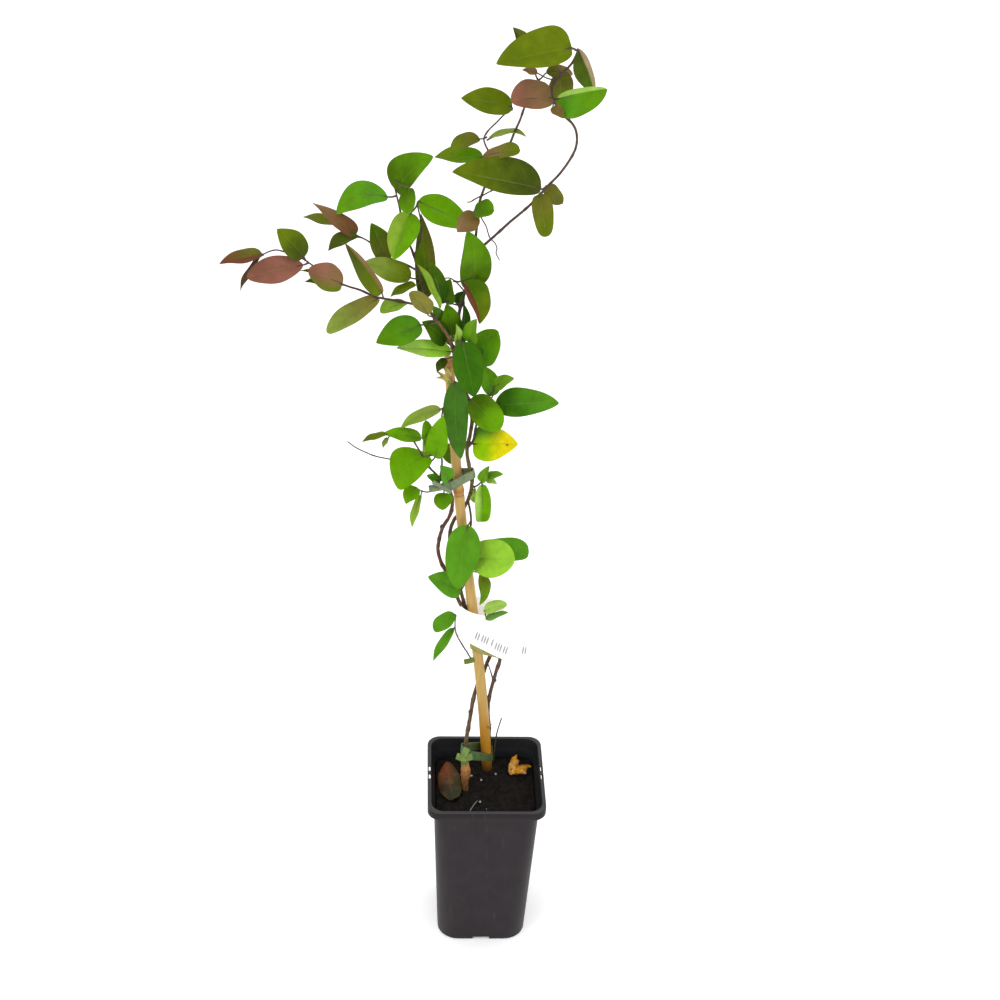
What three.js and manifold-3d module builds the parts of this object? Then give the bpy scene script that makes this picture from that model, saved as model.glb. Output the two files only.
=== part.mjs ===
// A climbing honeysuckle in a square nursery pot: the vine winds up a bamboo cane, held by tape ties.
// Millimetres, +Z up. The origin is the middle of the pot's base.

import * as THREE from 'three';
import Module from 'manifold-3d';
import { mergeVertices } from 'three/addons/utils/BufferGeometryUtils.js';

const wasm = await Module();
wasm.setup();

// Driving dimensions of the pot
const potHeight = 176;
const rimWidth = 110;
const bodyTopWidth = 98;
const baseWidth = 85;
const wall = 1.2;
const floorThickness = 2;
const lipWidth = 3.6;
const skirtHeight = 8.5;
const collarHeight = 12;
const rimCorner = 12;
const baseCorner = 20;
const drainWidth = 16;
const drainHeight = 3.5;
const drainDepth = 9;
const slotAcross = 2.1;
const slotLength = 6.5;
const slotSpacing = 11;
const slotInset = 1.75;

// Driving dimensions of what stands in the pot
const soilHeight = 157;
const soilBump = 1.2;
const caneRadius = 4.9;
const caneTopRadius = 3.7;
const caneDepthInSoil = 136;
const stemDepthInSoil = 30;
const stumpThick = 7.6;
const nodeSwell = 0.8;
const nodeHalf = 2.2;
const tapeWidth = 8.5;
const tapeThickness = 0.9;
const labelWidth = 32;
const labelThickness = 0.8;
const labelLoopAcross = 42;
const labelLoopDeep = 30;
const dryThickness = 0.9;
const strawRadius = 0.8;
const gap = 0.35;

// Driving dimensions of the foliage
const bladeThickness = 0.85;
const stalkHalf = 0.65;
const bladeStations = [0.05, 0.2, 0.42, 0.66, 0.87];
const narrowStations = [0.06, 0.27, 0.55, 0.84];
const narrowBlade = 22;
const stemStep = 15;
const wireStem = 2.1;

// The sight that a seen place is given in: 1000 steps across and down, from this eye, and a depth in mm behind the
// middle of the pot
const eye = new THREE.Vector3(-74, -1223, 1252);
const pitch = THREE.MathUtils.degToRad(32.13);
const yaw = THREE.MathUtils.degToRad(3.54);
const roll = THREE.MathUtils.degToRad(2.62);
const focal = 1700;
const sightMiddle = 500;

const ahead = new THREE.Vector3(
  Math.sin(yaw) * Math.cos(pitch),
  Math.cos(yaw) * Math.cos(pitch),
  -Math.sin(pitch),
);
const right = new THREE.Vector3(Math.cos(yaw), -Math.sin(yaw), 0).applyAxisAngle(ahead, -roll);
const above = new THREE.Vector3().crossVectors(right, ahead);

// The place that is seen at (across, down) and lies at that depth
function seen([across, down, depth]) {
  const ray = ahead.clone()
    .addScaledVector(right, (across - sightMiddle) / focal)
    .addScaledVector(above, (sightMiddle - down) / focal);
  return eye.clone().addScaledVector(ray, (depth - eye.y) / ray.y);
}

// The place that is seen at (across, down) and lies at that height
function ground([across, down], height) {
  const near = seen([across, down, 0]);
  const sight = near.clone().sub(eye);
  return eye.clone().addScaledVector(sight, (height - eye.z) / sight.z);
}

// Solids

function solid(vertices, faces) {
  const mesh = new wasm.Mesh({
    numProp: 3,
    vertProperties: new Float32Array(vertices.flatMap((v) => [v.x, v.y, v.z])),
    triVerts: new Uint32Array(faces.flat()),
  });
  return new wasm.Manifold(mesh);
}

function solidFrom(geometry, matrix = new THREE.Matrix4()) {
  const bare = geometry.clone().applyMatrix4(matrix);
  bare.deleteAttribute('normal');
  bare.deleteAttribute('uv');
  const merged = mergeVertices(bare, 1e-4);
  return new wasm.Manifold(new wasm.Mesh({
    numProp: 3,
    vertProperties: new Float32Array(merged.attributes.position.array),
    triVerts: new Uint32Array(merged.index.array),
  }));
}

// The two triangles between step s of one ring of points and the same step of another
function patch(ring, other, s, sides) {
  const next = (s + 1) % sides;
  const [a, b, c, d] = [ring * sides + s, ring * sides + next, other * sides + next, other * sides + s];
  return [[a, b, c], [a, c, d]];
}

// A skin over rings of points, which run anticlockwise seen from the end of the last one, closed at both ends
function loft(rings) {
  const sides = rings[0].length;
  const vertices = rings.flat();
  const faces = [];
  for (let r = 0; r + 1 < rings.length; r++) {
    for (let s = 0; s < sides; s++) {
      faces.push(...patch(r, r + 1, s, sides));
    }
  }
  const ends = [rings[0], rings[rings.length - 1]].map((ring) => {
    const middle = new THREE.Vector3();
    ring.forEach((p) => middle.addScaledVector(p, 1 / sides));
    return vertices.push(middle) - 1;
  });
  const last = (rings.length - 1) * sides;
  for (let s = 0; s < sides; s++) {
    const next = (s + 1) % sides;
    faces.push([ends[0], next, s], [ends[1], last + s, last + next]);
  }
  return solid(vertices, faces);
}

// How many steps of about that length a curve is cut into
function stepsAlong(curve, step) {
  return Math.max(2, Math.round(curve.getLength() / step));
}

// A round tube along a smooth path of points, from one radius to another
function tube(points, startRadius, endRadius, { sides = 6, step = 11, swell = 0 } = {}) {
  const curve = new THREE.CatmullRomCurve3(points, false, 'centripetal');
  const count = stepsAlong(curve, step);
  const frames = curve.computeFrenetFrames(count, false);
  const rings = [];
  for (let i = 0; i <= count; i++) {
    const at = curve.getPointAt(i / count);
    const radius = THREE.MathUtils.lerp(startRadius, endRadius, i / count) + swell;
    const ring = [];
    for (let s = 0; s < sides; s++) {
      const angle = 2 * Math.PI * s / sides;
      ring.push(at.clone()
        .addScaledVector(frames.normals[i], radius * Math.cos(angle))
        .addScaledVector(frames.binormals[i], radius * Math.sin(angle)));
    }
    rings.push(ring);
  }
  return loft(rings);
}

function largestOf(shape) {
  const pieces = shape.decompose();
  return pieces.reduce((best, piece) => (piece.volume() > best.volume() ? piece : best));
}

function union(shapes) {
  return wasm.Manifold.union(shapes);
}

// Leaves

// Half the width of a blade, as a share of its widest, at a share t of its length
function outline(t, base, point) {
  const widest = base / (base + point);
  const most = widest ** base * (1 - widest) ** point;
  return t ** base * (1 - t) ** point / most;
}

// A leaf from foot to tip, both as seen, with its width in mm. turn is how far its upper face is turned from the
// viewer up to the sky, in degrees. bow lifts the rib and swerve bends it sideways, in mm. fold raises the halves and
// twist winds the blade, in degrees. wave ruffles the edge, in mm. base and point shape the outline, and right and left
// are the shares of each half, as the leaf points up.
function leaf(foot, tip, width, turn, form = {}) {
  const plain = {
    bow: 2, swerve: 0, fold: 14, twist: 0, wave: 0.8, waves: 1.5, base: 0.5, point: 0.8, right: 1, left: 1,
  };
  const shape = { ...plain, ...form };
  return { foot, tip, width, turn, ...shape };
}

function leafFrame(blade) {
  const along = blade.tip.clone().sub(blade.foot);
  const length = along.length();
  along.normalize();
  const facing = eye.clone().sub(blade.foot.clone().lerp(blade.tip, 0.5)).normalize();
  facing.addScaledVector(along, -facing.dot(along)).normalize();
  const skyward = new THREE.Vector3().crossVectors(along, facing);
  if (skyward.z < 0) skyward.negate();
  const turn = THREE.MathUtils.degToRad(blade.turn);
  const normal = facing.multiplyScalar(Math.cos(turn)).addScaledVector(skyward, Math.sin(turn));
  const side = new THREE.Vector3().crossVectors(along, normal);
  return { along, length, normal, side };
}

// The point of the blade's middle surface at t along it and u across it, from -1 to 1
function bladePoint(blade, frame, t, u) {
  const arch = 4 * t * (1 - t);
  const spin = THREE.MathUtils.degToRad(blade.twist) * (t - 0.5);
  const side = frame.side.clone().applyAxisAngle(frame.along, spin);
  const normal = frame.normal.clone().applyAxisAngle(frame.along, spin);
  const share = u > 0 ? blade.right : blade.left;
  const half = 0.5 * blade.width * outline(t, blade.base, blade.point) * share;
  const fold = THREE.MathUtils.degToRad(blade.fold);
  const ruffle = blade.wave * u * u * Math.sin(2 * Math.PI * blade.waves * t + (u > 0 ? 1.3 : 0));
  return blade.foot.clone()
    .addScaledVector(frame.along, frame.length * t)
    .addScaledVector(frame.normal, blade.bow * arch)
    .addScaledVector(frame.side, blade.swerve * arch)
    .addScaledVector(side, u * half * Math.cos(fold))
    .addScaledVector(normal, Math.abs(u) * half * Math.sin(fold) + ruffle);
}

// Where a stalk leaves its shoot's stems: near the foot, and on the side that the blade points away from
function stalkRoot(blade, stems) {
  const { along } = leafFrame(blade);
  let best = null;
  for (const { curve } of stems) {
    const spine = curve.getSpacedPoints(stepsAlong(curve, stemStep));
    for (let i = 0; i + 1 < spine.length; i++) {
      for (const share of [0.1, 0.3, 0.5, 0.7, 0.9]) {
        const place = spine[i].clone().lerp(spine[i + 1], share);
        const reach = blade.foot.clone().sub(place);
        const length = reach.length();
        const cost = (length + 2) * (1.7 - reach.normalize().dot(along));
        if (!best || cost < best.cost) best = { place, cost };
      }
    }
  }
  return best.place;
}

// A leaf as one thin body: its stalk from the stem to the foot, then the blade
function leafSolid(blade, stems, thickness = bladeThickness) {
  const frame = leafFrame(blade);
  const root = stems.length ? stalkRoot(blade, stems) : blade.foot;
  const reach = blade.foot.clone().sub(root);
  const rows = [];
  const stalkRow = (centre, heading) => {
    const side = frame.side.clone().addScaledVector(heading, -frame.side.dot(heading)).normalize();
    const normal = new THREE.Vector3().crossVectors(side, heading);
    rows.push({ points: [-1, 0, 1].map((u) => centre.clone().addScaledVector(side, u * stalkHalf)), normal });
  };
  if (reach.length() > 2) {
    const heading = reach.clone().normalize();
    stalkRow(root, heading);
    stalkRow(blade.foot, heading.add(frame.along).normalize());
  } else {
    stalkRow(root, frame.along);
  }
  for (const t of blade.width < narrowBlade ? narrowStations : bladeStations) {
    rows.push({ points: [-1, 0, 1].map((u) => bladePoint(blade, frame, t, u)), normal: frame.normal });
  }
  const tip = bladePoint(blade, frame, 1, 0);
  const vertices = [];
  for (const face of [1, -1]) {
    for (const { points, normal } of rows) {
      points.forEach((point) => vertices.push(point.clone().addScaledVector(normal, face * thickness / 2)));
    }
    vertices.push(tip.clone().addScaledVector(frame.normal, face * thickness / 2));
  }
  const count = vertices.length / 2;
  const at = (row, column) => 3 * row + column;
  const last = rows.length - 1;
  const upper = [[at(last, 0), at(last, 1), count - 1], [at(last, 1), at(last, 2), count - 1]];
  for (let r = 0; r < last; r++) {
    for (const c of [0, 1]) {
      upper.push([at(r, c), at(r, c + 1), at(r + 1, c + 1)], [at(r, c), at(r + 1, c + 1), at(r + 1, c)]);
    }
  }
  const lower = upper.map(([a, b, c]) => [count + a, count + c, count + b]);
  const rim = [
    ...rows.map((_, r) => at(r, 2)), count - 1, ...rows.map((_, r) => at(last - r, 0)), at(0, 1),
  ];
  const walls = rim.flatMap((a, i) => {
    const b = rim[(i + 1) % rim.length];
    return [[a, count + b, b], [a, count + a, count + b]];
  });
  return solid(vertices, [...upper, ...lower, ...walls]);
}

// Shoots: the stems as seen paths with their thickness in mm at both ends, and the leaves they carry

function stem(path, thick, thin) {
  return { path, thick, thin };
}

// A shoot in space. It starts where it is seen at `from`, and drifts away from the viewer by that many mm for each
// step of sight from there.
function grown({ from, away, stems, leaves }) {
  const place = ([across, down, depth]) => {
    const reach = Math.hypot(across - from[0], down - from[1]);
    return seen([across, down, depth + away * reach]);
  };
  return {
    stems: stems.map(({ path, thick, thin }) => {
      const points = path.map(place);
      return { points, thick, thin, curve: new THREE.CatmullRomCurve3(points, false, 'centripetal') };
    }),
    leaves: leaves.map((blade) => ({ ...blade, foot: place(blade.foot), tip: place(blade.tip) })),
  };
}

const vinePaths = {
  // rises from the old stump on the left, winds behind the cane, and loops out on its left
  left: [
    [466, 790, 0], [466, 778, 1], [465, 765, 5], [465, 750, 12], [467, 735, 17], [470, 718, 22], [473, 700, 28],
    [477, 686, 34], [482, 675, 37], [487, 663, 34], [491, 652, 29], [489, 642, 22], [481, 632, 18], [472, 623, 19],
    [466.5, 615, 25], [460, 603, 25], [454, 590, 24], [448, 575, 20], [441, 562, 17], [438, 550, 15], [439, 540, 14],
    [443, 527, 14], [449, 517, 15], [452, 508, 17], [452, 498, 19], [449, 489, 19], [444, 482, 17.5],
  ],
  // rises behind the cane, stands off it on the right, and winds up to the head
  right: [
    [487, 762, 36], [489, 740, 35], [489, 725, 32], [488, 712, 31], [489, 698, 30], [492, 686, 29], [496, 672, 28],
    [500, 658, 29], [497, 646, 34], [486, 634, 37], [472, 623, 35], [466.5, 612, 32], [463.5, 601, 29], [460, 588, 24],
    [456, 570, 19], [451, 548, 19], [450, 532, 22], [454, 520, 30], [461, 511, 35], [467, 502, 33], [471, 490, 27],
    [472, 478, 22], [469, 465, 18], [467, 450, 17], [470, 435, 17], [472, 421, 19], [470, 405, 25], [464, 388, 33],
    [458, 374, 33], [455, 364, 28],
  ],
};

const shootPlans = {
  shoot_head: {
    from: [455, 366],
    away: 0,
    stems: [
      stem([[455, 366, 29], [453, 350, 22], [447, 335, 18], [440, 325, 16], [432, 315, 14], [427, 303, 13],
        [424, 292, 13]], 3.4, 2.4),
      stem([[455, 366, 29], [456, 352, 26], [460, 342, 25], [461, 330, 25], [459, 315, 25], [461, 305, 26],
        [466, 288, 28], [469, 273, 29]], 3.2, 2.4),
      stem([[465, 292, 27], [456, 282, 23], [449, 278, 19], [441, 279, 16]], 1.3, 0.9),
      stem([[461.5, 306, 26], [453, 304, 21], [446, 301, 17]], 1.5, 1.2),
    ],
    leaves: [
      leaf([472, 288, 25], [467, 231, 15], 28, 15, { swerve: 4 }),
      leaf([463, 281, 16], [480, 324, 6], 26, 35, { swerve: -3, fold: 28, right: 0.8, left: 1.1 }),
      leaf([446, 303, 22], [450, 279, 18], 17, 20),
      leaf([442, 303, 13], [429, 261, 7], 16, 30),
      leaf([440, 308, 4], [417, 264, -7], 10, 52),
      leaf([465, 343, 27], [466, 303, 23], 11, 55),
      leaf([446, 341, 9], [422, 322, -2], 20, 25),
      leaf([452, 335, 21], [446, 304, 24], 19, 20),
      leaf([456, 347, 17], [456, 324, 9], 9, 45),
      leaf([470, 343, 17], [474, 319, 9], 13, 30),
      leaf([469, 347, 27], [498, 331, 21], 30, 5, { bow: -2, right: 1.5, left: 0.45, base: 0.4, point: 0.5 }),
      leaf([468, 349, 21], [483, 376, 13], 20, 20),
      leaf([462, 342, 11], [474, 397, -4], 27, 12),
      leaf([421, 325, 9], [376, 343, -7], 25, 18),
      leaf([451, 352, 13], [396, 348, -4], 17, 30),
      leaf([428, 315, -3], [411, 291, -17], 20, 150),
      leaf([446, 359, 19], [437, 372, 12], 9, 20),
      leaf([452, 342, 34], [446, 313, 56], 23, 150),
      leaf([469, 343, 36], [478, 358, 60], 22, 165),
    ],
  },
  shoot_crown: {
    from: [469, 274],
    away: -0.13,
    stems: [
      stem([[469, 274, 29], [474, 250, 28], [477, 225, 26], [478, 211, 25], [479, 204, 24], [485, 186, 22],
        [495, 164, 20], [509, 145, 17], [515, 131, 15],
        [520, 120, 14], [525, 106, 13], [532, 92, 12], [539, 79, 10]], 2.3, 1.6),
      stem([[474, 250, 28], [481, 247, 26], [490, 240, 22], [510, 222, 16], [530, 205, 10], [547, 187, 5],
        [562, 171, 0], [575, 150, -4], [577, 138, -5], [575, 128, -5], [570, 121, -4], [563, 115, -3],
        [556, 105, 0], [552, 95, 3], [553, 86, 5], [560, 76, 5], [572, 63, 2], [579, 49, 0]], 2.2, 1.7),
      stem([[495, 164, 20], [489, 152, 20], [485, 144, 20], [484, 138, 19], [488, 131, 18], [497, 122, 16],
        [505, 114, 14], [513, 109, 13]], 1.5, 1.1),
      stem([[480, 197, 23], [489, 192, 21], [497, 188, 20], [503, 184, 19]], 1.2, 1),
      stem([[481, 196, 23], [475, 199, 21], [470, 202, 20], [466, 202, 19]], 1.2, 1),
      stem([[478, 208, 24], [482, 219, 20], [486, 226, 17], [490, 238, 15], [495, 243, 13], [497, 249, 12],
        [496, 253, 12], [500, 261, 11]], 1.1, 0.9),
    ],
    leaves: [
      leaf([572, 48, 0], [496, 64, -10], 30, 18, { right: 1.25, left: 0.75, base: 0.38 }),
      leaf([531, 62, 18], [513, 27, 25], 15, 35),
      leaf([537, 73, 3], [522, 70, 0], 6, 20),
      leaf([546, 73, 12], [573, 74, 22], 12, 30),
      leaf([553, 98, 2], [511, 101, -11], 24, 22, { right: 1.2, left: 0.8, base: 0.45, point: 0.5 }),
      leaf([559, 70, 10], [561, 107, 17], 20, 15),
      leaf([578, 49, 3], [594, 92, 5], 21, 20, { fold: 20, right: 1.1, left: 0.4 }),
      leaf([557, 99, 1], [607, 89, -13], 33, 15, { right: 1.15, left: 0.25, point: 0.6 }),
      leaf([553, 107, -9], [564, 118, -19], 9, 10),
      leaf([512, 107, 13], [461, 98, 8], 21, 20),
      leaf([487, 140, 19], [526, 136, 6], 9, 60, { swerve: -5 }),
      leaf([480, 139, 20], [449, 153, 15], 14, 35, { swerve: 3 }),
      leaf([483, 158, 21], [434, 157, 29], 17, 40),
      leaf([482, 157, 17], [520, 150, 6], 13, 30, { base: 0.8, point: 0.4 }),
      leaf([541, 189, 4], [452, 172, -12], 30, 25, { right: 1.25, left: 0.75 }),
      leaf([539, 194, 3], [546, 237, -6], 17, 10, { base: 0.3, point: 0.45 }),
      leaf([543, 188, 10], [563, 204, 18], 15, 20, { point: 1 }),
      leaf([474, 211, 22], [494, 210, 12], 16, 25, { base: 0.6, point: 0.4 }),
      leaf([478, 216, 19], [457, 232, 11], 18, 20),
    ],
  },
  shoot_upper_left: {
    from: [425, 294],
    away: 0.26,
    stems: [
      stem([[425, 294, 13], [419, 274, 14], [414, 256, 16], [408, 240, 18], [402, 222, 18], [400, 210, 17],
        [397, 197, 15], [394, 185, 14], [390, 173, 13]], 2.3, 1.2),
      stem([[414, 256, 16], [418, 246, 14], [421, 238, 13], [421, 222, 13], [418, 208, 14],
        [417, 203, 15]], 1.6, 1.2),
      stem([[418, 271, 14], [405, 264, 19], [392, 259, 21], [380, 251, 21], [368, 241, 20], [358, 236, 19],
        [347, 231, 18]], 1.9, 1.2),
    ],
    leaves: [
      leaf([397, 192, 14], [433, 156, 4], 27, 15, { swerve: -3, right: 0.65, left: 1.25, base: 0.4, point: 0.7 }),
      leaf([409, 188, 5], [408, 213, -2], 14, 15, { base: 0.4, point: 0.35 }),
      leaf([388, 197, 15], [336, 213, 11], 22, 30, { swerve: 9 }),
      leaf([418, 201, 15], [470, 226, 29], 24, 12),
      leaf([411, 213, 12], [394, 260, -1], 25, 12),
      leaf([425, 298, 19], [421, 213, 18], 19, 20, { base: 0.45, point: 0.9 }),
      leaf([356, 235, 18], [311, 202, 8], 15, 25, { base: 0.35, point: 1.1 }),
      leaf([345, 226, 18], [302, 217, 26], 12, 45),
      leaf([358, 237, 15], [328, 251, 7], 15, 30, { right: 1.3, left: 0.3 }),
      leaf([386, 261, 19], [371, 223, 11], 20, 20),
      leaf([416, 285, 10], [390, 297, 5], 11, 45),
      leaf([411, 278, 10], [363, 262, 6], 20, 20),
    ],
  },
  shoot_left_arm: {
    from: [428, 305],
    away: -0.2,
    stems: [
      stem([[428, 305, 13], [419, 305, 8], [408, 303, 4], [400, 301, 1], [386, 299, -2], [376, 297, -4],
        [360, 290, -8], [350, 287, -10], [342, 284, -12], [330, 278, -14], [320, 270, -15], [312, 265, -16],
        [305, 260, -17], [295, 255, -18], [285, 252, -19], [276, 250, -19], [268, 252, -20],
        [262, 255, -20]], 2.2, 1.1),
    ],
    leaves: [
      leaf([382, 293, -3], [345, 243, -12], 16, 20, { right: 0.55, left: 1.3 }),
      leaf([379, 298, -4], [327, 333, -14], 19, 30, { point: 0.5 }),
      leaf([342, 284, -12], [308, 271, -22], 22, 15, { point: 0.5 }),
      leaf([342, 285, -11], [307, 283, -3], 12, 60),
      leaf([304, 257, -16], [277, 229, -9], 21, 15),
      leaf([303, 265, -18], [247, 278, -30], 22, 20, { base: 0.7, point: 0.6 }),
      leaf([262, 254, -20], [219, 264, -26], 13, 35),
      leaf([260, 257, -20], [240, 291, -14], 6, 40),
      leaf([406, 303, 3], [381, 313, -6], 15, 42, { point: 0.45 }),
    ],
  },
  shoot_right: {
    from: [468, 446],
    away: 0.14,
    stems: [
      stem([[467, 448, 17], [473, 441, 12], [476, 426, 10], [482, 410, 11], [489, 397, 16],
        [495, 388, 18]], 2.4, 1.4),
      stem([[479, 418, 10.5], [470, 404, 9], [464, 393, 8], [458, 386, 8]], 1.8, 1.4),
    ],
    leaves: [
      leaf([455, 381, 7], [461, 459, -2], 22, 10, { swerve: 2.5 }),
      leaf([470, 399, 9], [500, 430, -2], 28, 20, { base: 0.45, point: 0.55 }),
      leaf([494, 387, 18], [514, 378, 11], 13, 25),
      leaf([493, 396, 21], [484, 366, 28], 17, 20),
      leaf([495, 406, 17], [559, 403, 4], 28, 25),
      leaf([473, 444, 11], [518, 444, -2], 32, 8, { base: 0.35 }),
      leaf([481, 427, 22], [493, 409, 46], 24, 160),
    ],
  },
  shoot_left: {
    from: [440, 478],
    away: -0.22,
    stems: [
      stem([[445, 483, 17.5], [440, 478, 15.5], [436, 474, 14], [428, 466, 11], [422, 455, 8], [416, 445, 5],
        [411, 438, 3], [400, 435, 1],
        [386, 435, -3]], 2, 1.1),
      stem([[440, 478, 15.5], [442, 462, 14], [440, 445, 13], [440, 430, 13], [442, 415, 14],
        [443, 407, 15]], 1.8, 1.3),
      stem([[441, 479, 15.8], [436, 488, 12], [428, 492, 9], [418, 490, 7]], 1.6, 1.1),
      stem([[431, 468, 12], [410, 464, 10], [388, 459, 4], [375, 456, 1], [365, 452, -1], [355, 447, -2],
        [347, 441, -2]], 1.3, 1),
    ],
    leaves: [
      leaf([441, 409, 15], [400, 429, 4], 13, 30, { swerve: 1.5 }),
      leaf([435, 457, 9], [443, 416, 1], 20, 12),
      leaf([428, 447, 13], [425, 421, 12], 11, 20, { point: 0.4 }),
      leaf([421, 438, 5], [382, 434, -3], 14, 30),
      leaf([386, 434, -5], [362, 442, -10], 7, 30),
      leaf([388, 438, -2], [383, 448, -8], 5, 20),
      leaf([429, 456, 8], [398, 489, -7], 32, 12, { swerve: 8, point: 0.6 }),
      leaf([416, 487, 6], [406, 504, -2], 15, 20),
      leaf([421, 495, 7], [412, 528, 2], 8, 30),
      leaf([449, 480, 13], [440, 466, 4], 15, 20),
      leaf([439, 482, 12], [427, 476, 3], 10, 20, { point: 0.6 }),
      leaf([444, 493, 11], [443, 510, 3], 17, 10, { point: 0.6 }),
      leaf([441, 446, 39], [459, 462, 47], 16, 10),
      leaf([429, 455, 27], [424, 438, 58], 22, 150),
    ],
  },
  shoot_right_low: {
    from: [471, 488],
    away: 0.3,
    stems: [
      stem([[471, 488, 26], [478, 485, 22], [484, 479, 20], [488, 473, 18]], 1.6, 1.1),
    ],
    leaves: [
      leaf([481, 482, 17], [489, 466, 10], 9, 15),
      leaf([487, 477, 19], [503, 474, 11], 8, 20),
      leaf([486, 480, 22], [497, 484, 15], 6, 20),
      leaf([482, 484, 20], [482, 522, 9], 15, 12, { base: 0.35, point: 0.25 }),
      leaf([475, 488, 28], [474, 503, 25], 6, 20),
    ],
  },
  shoot_front: {
    from: [468, 501],
    away: -0.05,
    stems: [
      stem([[468, 501, 33], [474, 513, 25], [473, 524, 18], [469, 534, 14], [467, 548, 13], [468, 562, 14],
        [469, 576, 15]], 2, 1.5),
    ],
    leaves: [
      leaf([468, 525, 14], [457, 590, 0], 32, 10),
      leaf([472, 559, 14], [515, 559, 0], 36, 10, { point: 0.5 }),
      leaf([475, 550, 21], [529, 552, 22], 23, 20, { point: 0.35 }),
      leaf([480, 573, 16], [478, 609, 7], 15, 30, { swerve: -3 }),
      leaf([461, 590, 14], [428, 577, 5], 23, 15),
      leaf([480, 556, 33], [492, 571, 56], 24, 165),
    ],
  },
  shoot_low_left: {
    from: [486, 663],
    away: 0,
    stems: [
      stem([[486, 663, 34], [478, 661, 36], [471, 659, 31], [467, 653, 26], [463, 646, 22], [456, 633, 19],
        [455, 624, 18], [456, 615, 18]], 1.5, 1.1),
    ],
    leaves: [
      leaf([455, 614, 18], [434, 631, 10], 16, 20, { point: 0.5 }),
      leaf([454, 628, 18], [433, 661, 9], 10, 25),
    ],
  },
  shoot_low_right: {
    from: [488, 637],
    away: 0,
    stems: [
      stem([[488, 637, 36], [487, 628, 31], [486, 619, 24], [485, 611.5, 15]], 1.6, 1.2),
    ],
    leaves: [
      leaf([484, 611, 12], [507, 604, 4], 12, 25, { point: 0.5 }),
      leaf([486, 617.5, 9], [508, 612, 1], 11, 35, { right: 1.3, left: 0.4 }),
    ],
  },
};

const shoots = Object.fromEntries(Object.entries(shootPlans).map(([name, plan]) => [name, grown(plan)]));

// The cane, as seen from the soil to its top
const caneSight = [
  [487, 768, 27], [484, 720, 27], [480.5, 680, 27], [476, 640, 27], [471.5, 600, 27], [466.5, 560, 27],
  [460.5, 510, 26], [455.5, 455, 26], [452, 410, 25], [449, 358, 25],
];

function sunkBelow(points, depth) {
  const slope = points[0].clone().sub(points[1]).normalize();
  return [points[0].clone().addScaledVector(slope, depth / -slope.z), ...points];
}

const canePoints = sunkBelow(caneSight.map(seen), caneDepthInSoil);

// The heights of the cane's joints
const caneNodes = [214, 341, 478, 602];

// What a tie can go round: curves, with the radius at both ends
const poles = {
  cane: pole(canePoints, caneRadius, caneTopRadius),
  left: pole(rooted(vinePaths.left), 2.7, 1.3),
  right: pole(rooted(vinePaths.right), 2.3, 1.6),
};

function pole(points, start, end) {
  return { curve: new THREE.CatmullRomCurve3(points, false, 'centripetal'), start, end };
}

function rooted(path) {
  const points = path.map(seen);
  return [new THREE.Vector3(points[0].x - 2, points[0].y + 2, soilHeight - stemDepthInSoil), ...points];
}

// The cane: a round rod with a low ring at each joint
function cane(swell = 0) {
  const { curve, start, end } = poles.cane;
  const bottom = canePoints[0].z;
  const top = canePoints[canePoints.length - 1].z;
  const stations = [[bottom, 0], [(bottom + soilHeight) / 2, 0]];
  for (const z of caneNodes) {
    stations.push([z - 3 * nodeHalf, 0], [z - nodeHalf, 0.2], [z, nodeSwell], [z + nodeHalf, 0]);
  }
  const rings = stations.filter(([z]) => z < top).concat([[top, 0]]).map(([z, extra]) => {
    const t = shareAt(curve, z);
    const radius = THREE.MathUtils.lerp(start, end, t) + extra + swell;
    return roundRing(curve.getPoint(t), radius, 10);
  });
  return loft(rings);
}

// The share of a rising curve at which it reaches a height
function shareAt(curve, z) {
  let low = 0;
  let high = 1;
  for (let i = 0; i < 30; i++) {
    const middle = (low + high) / 2;
    if (curve.getPoint(middle).z < z) low = middle;
    else high = middle;
  }
  return high;
}

function roundRing(centre, radius, sides) {
  return Array.from({ length: sides }, (_, s) => {
    const angle = 2 * Math.PI * s / sides;
    return centre.clone().add(new THREE.Vector3(radius * Math.cos(angle), radius * Math.sin(angle), 0));
  });
}

function climbingStem({ curve, start, end }, swell = 0) {
  return tube(curve.points, start, end, { sides: 5, step: stemStep, swell });
}

// The left stem, with the old stump that it grew from
function leftStem(swell = 0) {
  const path = poles.left.curve.points.slice(0, 4);
  const thick = stumpThick / 2;
  const stump = tube(path, thick, thick - 0.9, { sides: 7, step: 10, swell });
  return union([climbingStem(poles.left, swell), stump]);
}

function rightStem(swell = 0) {
  return climbingStem(poles.right, swell);
}

function shootStems(shoot, swell = 0) {
  return union(shoot.stems.map(({ points, thick, thin }) => (
    tube(points, thick / 2, thin / 2, { sides: thick < wireStem ? 4 : 5, step: stemStep, swell })
  )));
}

function shootSolid(shoot) {
  return union([shootStems(shoot), ...shoot.leaves.map((blade) => leafSolid(blade, shoot.stems))]);
}

// Ties and label

// The directions of a sloping level: along its slope, straight back, and square to both
function slopeAxes(degrees) {
  const angle = THREE.MathUtils.degToRad(degrees);
  const u = new THREE.Vector3(Math.cos(angle), 0, Math.sin(angle));
  const v = new THREE.Vector3(0, 1, 0);
  return { u, v, n: new THREE.Vector3().crossVectors(u, v) };
}

function onSlope(centre, { u, v, n }, a, b, level) {
  return centre.clone().addScaledVector(u, a).addScaledVector(v, b).addScaledVector(n, level);
}

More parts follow.
